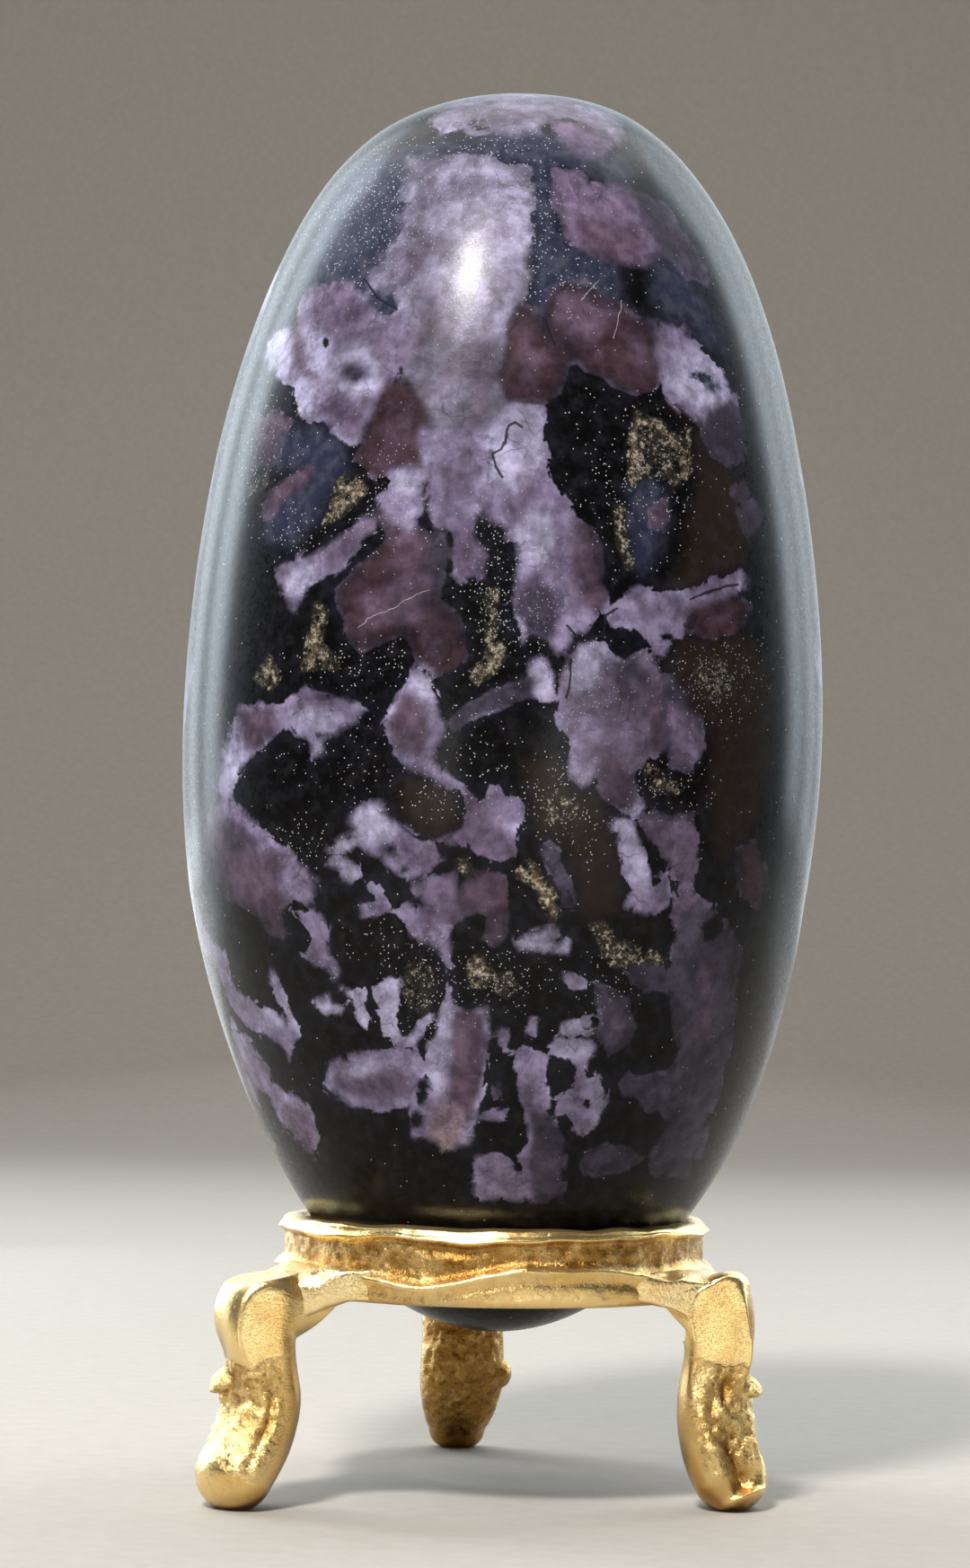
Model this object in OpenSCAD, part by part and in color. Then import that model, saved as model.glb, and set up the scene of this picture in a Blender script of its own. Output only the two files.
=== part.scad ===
// Polished lingam stone standing upright in a gilt three-legged ring stand.
// Millimetres. +Z is up, the table is z = 0 and the ring's axis is the Z axis.
// The side that faces the viewer is -Y. The stone lifts straight up out of the ring.

/* [Stone] */
// Greatest diameter of the stone
stone_d = 74.5; // [56:0.5:100]
// Height of the stone above its widest girth
stone_top_h = 73.8; // [40:0.2:110]
// Depth of the stone below its widest girth
stone_bottom_h = 70; // [50:0.2:110]
// Bluntness of the upper tip, where 2 is a plain ellipse
top_bluntness = 2.8; // [1.9:0.05:3.2]
// How late the upper end draws in from the girth, where 2 is a plain ellipse
top_taper = 1.8; // [1.6:0.05:2.6]
// Bluntness of the lower tip
bottom_bluntness = 2; // [1.9:0.05:2.6]
// How late the lower end draws in from the girth
bottom_taper = 2; // [1.8:0.05:2.4]

/* [Ring] */
// Outer diameter of the ring, at its rim and its foot band
ring_d = 50; // [40:0.5:60]
// Height of the ring
ring_h = 8.5; // [7:0.1:14]
// Wall between the bore and the outside of the ring
ring_wall = 3.2; // [2.6:0.1:4]
// Thickness of the round bead on the rim
bead_d = 2.2; // [1.6:0.1:2.6]
// How far the bead stands above the wall's top
bead_rise = 0.3; // [0.1:0.05:0.5]
// Height of the plain foot band that the legs are brazed to
band_h = 3.8; // [3:0.1:4.6]
// Depth of the hollow between the bead and the foot band
cove_depth = 0.8; // [0.3:0.05:1.2]
// Chamfer on the edges of the foot band
band_chamfer = 0.3; // [0.2:0.05:0.6]

/* [Legs] */
// Height of the rim above the table
stand_h = 31; // [27:0.5:50]
// Angle of the left leg round the ring, from +X
left_angle = 216; // [200:1:230]
// Angle of the right leg round the ring
right_angle = 331; // [316:1:345]
// Angle of the back leg round the ring
back_angle = 97; // [80:1:110]
// Splay of the left leg, as a share of the drawn reach
left_splay = 1.08; // [0.5:0.02:1.2]
// Splay of the right leg
right_splay = 0.62; // [0.5:0.02:1.2]
// Splay of the back leg
back_splay = 1; // [0.5:0.02:1.2]
// Width of a leg, across it
leg_w = 9.8; // [7:0.1:12]
// Height of a leg where it leaves the ring
root_t = 6.4; // [5:0.1:8]
// Thickness through the knee
knee_t = 8.6; // [7:0.1:9.4]
// Thickness of the shin, front to back
shin_t = 7.4; // [5:0.1:9]
// Thickness of the toe, square to its slope
toe_t = 7.8; // [5:0.1:9]
// How far the middle of the knee stands out from the ring
knee_out = 6.6; // [5:0.1:9]
// How far the knee's middle lies below the middle of the root
knee_drop = 1.4; // [0.8:0.1:3]
// How far the middle of the shin stands out from the ring
shin_out = 5.8; // [4.5:0.1:8]
// How far the middle of the toe stands out from the ring
toe_out = 9; // [7:0.1:13]
// Slope of the toe below the horizontal, in degrees
toe_slope = 60; // [45:1:75]
// Depth of the flat worn on the sole
sole_cut = 0.5; // [0.3:0.05:0.9]
// Diameter of the round spur on the front of the shin
spur_d = 3.4; // [2:0.1:4]
// How far the spur lies above the middle of the shin
spur_lift = 1.6; // [0:0.1:2.5]
// How far the spur stands out of the shin
spur_out = 1.3; // [0.6:0.1:1.6]

/* [Braze] */
// Spread of the braze fillet beyond each side of the leg
braze_spread = 4; // [2:0.1:5]
// Thickness of the braze fillet above the leg
braze_rise = 0.9; // [0.6:0.05:1.2]
// Length of the braze fillet along the leg
braze_l = 4.6; // [3:0.1:5.5]

/* [Fit] */
// Drop of the stone that would bring it onto the ring's seat
seat_gap = 0.3; // [0.1:0.05:0.6]

/* [Hidden] */

stone_colour = "#3d3650";
gilt_colour = "#c79a3a";
braze_colour = "#e0bd62";

$fn = 96;
stone_r = stone_d / 2;
ring_r = ring_d / 2;
bore_r = ring_r - ring_wall;
ring_base = stand_h - ring_h;
wall_top = stand_h - bead_rise;
band_top = ring_base + band_h;
cove_r = ring_r - cove_depth;
bead_r = bead_d / 2;
bead_middle = [ring_r - bead_r, stand_h - bead_r];

// Steps in the curves
stone_step = 4.5;    // degrees of the stone's outline
leg_steps = 7;       // rings between two stations of a leg
leg_sides = 24;
dome_step = 15;      // degrees of the toe's round end
fillet_steps = 8;

// The stone's outline is a superellipse above the girth and another below it.
function end_point(a, height, bluntness, taper) = [
    stone_r * pow(cos(a), 2 / bluntness),
    height * pow(sin(a), 2 / taper)
];
function bottom_depth(r) =
    stone_bottom_h * pow(1 - pow(r / stone_r, bottom_bluntness), 1 / bottom_taper);

// The stone comes to rest where its lower end first meets the wall's inner edge or the bead.
seat_points = concat(
    [[bore_r, wall_top]],
    [for (a = [90 : 15 : 180]) bead_middle + bead_r * [cos(a), sin(a)]]
);
seat_heights = [for (p = seat_points) p[1] + bottom_depth(p[0])];
girth_z = max(seat_heights) + seat_gap;

// A leg's middle line passes through stations in its own plane, x outwards and z up.
// Each station is [x, z, heading, width, thickness], with the heading in degrees above +x.
root_z = band_top - band_chamfer - braze_rise - root_t / 2;
dome_l = toe_t / 2;
toe_z = norm([dome_l * sin(toe_slope), toe_t / 2 * cos(toe_slope)]) - sole_cut;
knee_z = root_z - knee_drop;
shin_z = (knee_z + toe_z) / 2;
knee_heading = -52;
shin_heading = -93;
function leg_stations(splay) = [
    [ring_r - ring_wall, root_z, 0, leg_w, root_t],
    [ring_r + splay * knee_out, knee_z, knee_heading, leg_w, knee_t],
    [ring_r + splay * shin_out, shin_z, shin_heading, leg_w, shin_t],
    [ring_r + splay * toe_out, toe_z, -toe_slope, leg_w, toe_t]
];

function heading(a) = [cos(a), sin(a)];
function xz(s) = [s[0], s[1]];

// Point on the Hermite curve from station p to station q, at share f
function between(p, q, f) =
    let (l = norm(xz(q) - xz(p)), f2 = f * f, f3 = f2 * f)
    (2 * f3 - 3 * f2 + 1) * xz(p) + (f3 - 2 * f2 + f) * l * heading(p[2])
    + (3 * f2 - 2 * f3) * xz(q) + (f3 - f2) * l * heading(q[2]);

// Direction of that curve
function along(p, q, f) =
    let (d = between(p, q, f + 0.01) - between(p, q, f - 0.01)) d / norm(d);

// One ring of points round the middle line: an ellipse square to the direction of travel
function ring_points(middle, way, width, thickness) = [
    for (k = [0 : leg_sides - 1])
        let (a = 360 * k / leg_sides, up = thickness / 2 * sin(a))
        [middle[0] - up * way[1], width / 2 * cos(a), middle[1] + up * way[0]]
];

function leg_rings(st) = [
    for (i = [0 : len(st) - 2], j = [0 : leg_steps - 1])
        let (p = st[i], q = st[i + 1], f = j / leg_steps, e = f * f * (3 - 2 * f))
        ring_points(between(p, q, f), along(p, q, f), p[3] + e * (q[3] - p[3]), p[4] + e * (q[4] - p[4]))
];

function toe_rings(toe) = [
    for (a = [0 : dome_step : 90 - dome_step])
        ring_points(
            xz(toe) + dome_l * sin(a) * heading(toe[2]), heading(toe[2]), toe[3] * cos(a), toe[4] * cos(a)
        )
];

// The fillet hollows from its spread at the ring to just inside the leg's own skin.
fillet_bite = 0.4;
fillet_half_w = leg_w / 2 + braze_spread;
fillet_foot = sqrt(ring_r * ring_r - fillet_half_w * fillet_half_w);
fillet_rings = [
    for (i = [0 : fillet_steps])
        let (s = i / fillet_steps)
        ring_points(
            [fillet_foot + s * (ring_r + braze_l - fillet_foot), root_z], [1, 0],
            leg_w - 2 * fillet_bite + 2 * (braze_spread + fillet_bite) * (1 - s) * (1 - s),
            root_t - 2 * fillet_bite + 2 * (braze_rise + fillet_bite) * (1 - s * s)
        )
];

// Closed solid over a list of rings that have the same number of points
module skin(rings) {
    n = len(rings[0]);
    last = len(rings) - 1;
    sides = [
        for (i = [0 : last - 1], k = [0 : n - 1], half = [0, 1])
            let (a = i * n + k, b = i * n + (k + 1) % n)
            half == 0 ? [a, b + n, b] : [a, a + n, b + n]
    ];
    caps = [[for (k = [0 : n - 1]) k], [for (k = [n - 1 : -1 : 0]) last * n + k]];
    polyhedron([for (r = rings) each r], concat(sides, caps), convexity = 6);
}

// What lies inside the ring's outer face, over the whole height of the stand
module ring_core() {
    translate([0, 0, -stand_h]) cylinder(r = ring_r, h = 3 * stand_h, $fn = 240);
}

module below(z) {
    reach = 2 * (ring_r + toe_out + toe_t);
    translate([-reach / 2, -reach / 2, z - stand_h]) cube([reach, reach, stand_h]);
}

module leg_form(splay) {
    stations = leg_stations(splay);
    difference() {
        skin(concat(leg_rings(stations), toe_rings(stations[len(stations) - 1])));
        below(0);
    }
}

module spur(splay) {
    spur_r = spur_d / 2;
    shin_face = ring_r + splay * shin_out + shin_t / 2;
    translate([shin_face + spur_out - spur_r, 0, shin_z + spur_lift]) sphere(r = spur_r, $fn = 24);
}

module leg(angle, splay) {
    color(gilt_colour) rotate([0, 0, angle])
        difference() {
            union() {
                leg_form(splay);
                spur(splay);
            }
            ring_core();
        }
}

module braze(angle, splay) {
    color(braze_colour) rotate([0, 0, angle])
        difference() {
            skin(fillet_rings);
            ring_core();
            leg_form(splay);
            below(ring_base + band_chamfer);
        }
}

module stone() {
    low = [
        for (a = [90 : -stone_step : stone_step])
            let (p = end_point(a, stone_bottom_h, bottom_bluntness, bottom_taper)) [p[0], -p[1]]
    ];
    high = [
        for (a = [0 : stone_step : 90]) end_point(a, stone_top_h, top_bluntness, top_taper)
    ];
    color(stone_colour) translate([0, 0, girth_z]) rotate_extrude() polygon(concat(low, high));
}

// Half section of the ring: foot band, thinner wall above it, and the bead on the rim
module ring_section() {
    translate([0, ring_base])
        polygon([
            [bore_r, 0], [ring_r - band_chamfer, 0],
            [ring_r, band_chamfer], [ring_r, band_h - band_chamfer],
            [ring_r - band_chamfer, band_h], [bore_r, band_h]
        ]);
    translate([bore_r, ring_base]) square([cove_r - bore_r, bead_middle[1] - ring_base]);
    translate([bore_r, ring_base]) square([bead_middle[0] - bore_r, wall_top - ring_base]);
    translate(bead_middle) circle(r = bead_r, $fn = 24);
}

module seat_ring() {
    color(gilt_colour) rotate_extrude() ring_section();
}

stone();
seat_ring();
leg(left_angle, left_splay);  // leg_left
leg(right_angle, right_splay);  // leg_right
leg(back_angle, back_splay);  // leg_back
braze(left_angle, left_splay);  // braze_left
braze(right_angle, right_splay);  // braze_right
braze(back_angle, back_splay);  // braze_back
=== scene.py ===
"""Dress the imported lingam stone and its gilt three-legged ring stand, and light them in a plain studio.

The stone, the ring, the three legs and their braze fillets are new surfaces worked out with numpy on
grids. Sizes in this script are millimetres, and MM turns them to metres when a mesh is made. +Z is up,
the viewer looks along +Y, and the ring's axis is the Z axis.
"""

import math

import bpy
import numpy as np
from mathutils import Matrix, Vector


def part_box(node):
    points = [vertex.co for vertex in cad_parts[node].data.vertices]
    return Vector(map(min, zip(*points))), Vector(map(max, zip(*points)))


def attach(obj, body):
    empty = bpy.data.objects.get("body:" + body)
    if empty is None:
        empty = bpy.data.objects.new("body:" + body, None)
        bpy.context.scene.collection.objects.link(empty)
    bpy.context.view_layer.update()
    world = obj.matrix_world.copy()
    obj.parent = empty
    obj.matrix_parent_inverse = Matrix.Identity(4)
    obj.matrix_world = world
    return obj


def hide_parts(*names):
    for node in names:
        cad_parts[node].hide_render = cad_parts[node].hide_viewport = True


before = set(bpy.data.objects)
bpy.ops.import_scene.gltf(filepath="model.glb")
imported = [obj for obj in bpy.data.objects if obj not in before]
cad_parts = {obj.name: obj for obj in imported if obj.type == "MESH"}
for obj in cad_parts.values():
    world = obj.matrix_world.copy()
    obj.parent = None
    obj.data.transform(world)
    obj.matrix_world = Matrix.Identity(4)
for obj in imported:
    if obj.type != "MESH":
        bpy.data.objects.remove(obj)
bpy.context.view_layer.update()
MM = 0.001


def node_box(name):
    """Lowest and highest corner of a CAD node, in millimetres."""
    low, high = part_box(name)
    return np.array(low) / MM, np.array(high) / MM


STONE_LOW, STONE_HIGH = node_box("stone")
RING_LOW, RING_HIGH = node_box("seat_ring")

# Sizes shared with the part's source
STONE_R = (STONE_HIGH[0] - STONE_LOW[0]) / 2
STONE_BOTTOM_H = 70.0
GIRTH_Z = STONE_LOW[2] + STONE_BOTTOM_H
STONE_TOP_H = STONE_HIGH[2] - GIRTH_Z
TOP_BLUNTNESS, TOP_TAPER = 2.8, 1.8
BOTTOM_BLUNTNESS, BOTTOM_TAPER = 2.0, 2.0
RING_R = (RING_HIGH[0] - RING_LOW[0]) / 2
RING_BASE, RING_TOP = RING_LOW[2], RING_HIGH[2]
RING_WALL = 3.2
COVE_R = RING_R - 0.8
LEG_W = 9.8
ROOT_T, KNEE_T, SHIN_T, TOE_T = 6.4, 8.6, 7.4, 7.8
KNEE_OUT, SHIN_OUT, TOE_OUT = 6.6, 5.8, 9.0
ROOT_Z, KNEE_Z, TOE_Z = 21.9, 20.5, 3.4
KNEE_HEADING, SHIN_HEADING, TOE_SLOPE = -52.0, -93.0, 60.0
BRAZE_SPREAD, BRAZE_L = 4.0, 4.6

# The viewer's eye, on which the stone's figure is drawn
EYE_DISTANCE, EYE_HEIGHT = 400.0, 56.0


# Shapes

def smooth(value, low, high):
    """Smooth step: 0 below low, 1 above high, and 3t² - 2t³ between."""
    t = np.clip((value - low) / (high - low), 0, 1)
    return t * t * (3 - 2 * t)


def bump(value, middle, half):
    """Bell: 1 at the middle, exp(-d²) with d counted in half widths."""
    return np.exp(-((value - middle) / half) ** 2)


def cloud(points, size, seed):
    """Smooth noise from -1 to 1: seeded values on a cubic lattice of that size, blended over each cell's
    eight corners with weights 3f² - 2f³."""
    side = 32
    table = np.random.default_rng(seed).uniform(-1, 1, (side, side, side))
    cell = np.floor(points / size).astype(int)
    f = points / size - cell
    f = f * f * (3 - 2 * f)
    total = np.zeros(points.shape[:-1])
    for corner in np.ndindex(2, 2, 2):
        at = (cell + corner) % side
        weight = np.prod(np.where(np.array(corner) == 1, f, 1 - f), axis=-1)
        total += weight * table[at[..., 0], at[..., 1], at[..., 2]]
    return total


def skin(name, rings, wrapped=False):
    """Mesh over a grid of points, rings by sides. Quads join each ring to the next, and the sides close on
    themselves. A wrapped grid joins its last ring to its first; otherwise a fan to the middle of each end
    ring closes the shape. The faces are turned outwards by the sign of the enclosed volume."""
    count, sides = rings.shape[:2]
    verts = rings.reshape(-1, 3)
    grid = np.arange(count * sides).reshape(count, sides)
    here = grid if wrapped else grid[:-1]
    there = np.roll(grid, -1, axis=0) if wrapped else grid[1:]
    quads = np.stack(
        [here, np.roll(here, -1, axis=1), np.roll(there, -1, axis=1), there], axis=-1
    ).reshape(-1, 4)
    fans = np.empty((0, 3), int)
    if not wrapped:
        verts = np.vstack([verts, rings[0].mean(axis=0), rings[-1].mean(axis=0)])
        first, last = grid[0], grid[-1]
        low = np.stack([np.roll(first, -1), first, np.full(sides, len(verts) - 2)], axis=-1)
        high = np.stack([last, np.roll(last, -1), np.full(sides, len(verts) - 1)], axis=-1)
        fans = np.vstack([low, high])
    triangles = np.vstack([quads[:, [0, 1, 2]], quads[:, [0, 2, 3]], fans])
    a, b, c = (verts[triangles[:, k]] for k in range(3))
    if np.einsum("ij,ij->i", a, np.cross(b, c)).sum() < 0:
        quads, fans = quads[:, ::-1], fans[:, ::-1]
    mesh = bpy.data.meshes.new(name)
    mesh.from_pydata((verts * MM).tolist(), [], quads.tolist() + fans.tolist())
    mesh.polygons.foreach_set("use_smooth", np.ones(len(mesh.polygons), bool))
    mesh.update()
    piece = bpy.data.objects.new(name, mesh)
    bpy.context.scene.collection.objects.link(piece)
    return piece


def mark(piece, name, values):
    """Store one number, or one colour, for each grid point. The middles of the end fans take the mean of
    the end rings."""
    mesh = piece.data
    if values.ndim == 2:
        values = values[..., None]
    flat = values.reshape(-1, values.shape[-1])
    if len(flat) < len(mesh.vertices):
        flat = np.vstack([flat, values[0].mean(axis=0), values[-1].mean(axis=0)])
    if flat.shape[1] == 1:
        field = mesh.attributes.new(name, "FLOAT", "POINT")
        field.data.foreach_set("value", flat[:, 0].astype(np.float32))
        return
    flat = np.hstack([flat, np.ones((len(flat), 1))])
    field = mesh.attributes.new(name, "FLOAT_COLOR", "POINT")
    field.data.foreach_set("color", flat.ravel().astype(np.float32))


def place(piece, body, node, finish):
    """Give a piece its material, hang it on the body that carries it, and hide the node that it stands for.
    """
    piece.data.materials.append(finish)
    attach(piece, body)
    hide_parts(node)


# Stone: the figure of light feldspar in a dark ground, drawn as seen from the front.
# Each patch is a mineral and an outline, across and up in millimetres on the plane through the axis; a few
# paint light instead, a highlight's halo and a sheen, as marked where they stand.
# Later patches lie over earlier ones.

MINERALS = {
    # name: colour (linear), 1 for light feldspar or -1 for the dark ground
    "lilac": ((0.315, 0.295, 0.430), 1),
    "lavender": ((0.195, 0.160, 0.262), 1),
    # pale feldspar tone; round the key's highlight the same colour is the painted halo of that highlight
    "grey_and_painted_halo": ((0.255, 0.238, 0.345), 1),
    "violet": ((0.152, 0.122, 0.192), 1),
    "slate": ((0.142, 0.130, 0.188), 1),
    "mauve": ((0.116, 0.083, 0.140), 1),
    "plum": ((0.078, 0.050, 0.078), 1),
    "brown": ((0.041, 0.022, 0.029), 1),
    "dim": ((0.052, 0.043, 0.070), 1),
    "navy": ((0.019, 0.022, 0.045), -1),
    # smoky stone tone that also paints a bluish-grey reflection sheen
    "smoky_tone_and_painted_sheen": ((0.058, 0.052, 0.080), 1),
    # painted warm reflection of a low light, not a mineral
    "rose": ((0.25, 0.185, 0.215), 1),
    "black": ((0.0022, 0.0020, 0.0020), -1),
    "umber": ((0.018, 0.0118, 0.0085), -1),
}

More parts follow.
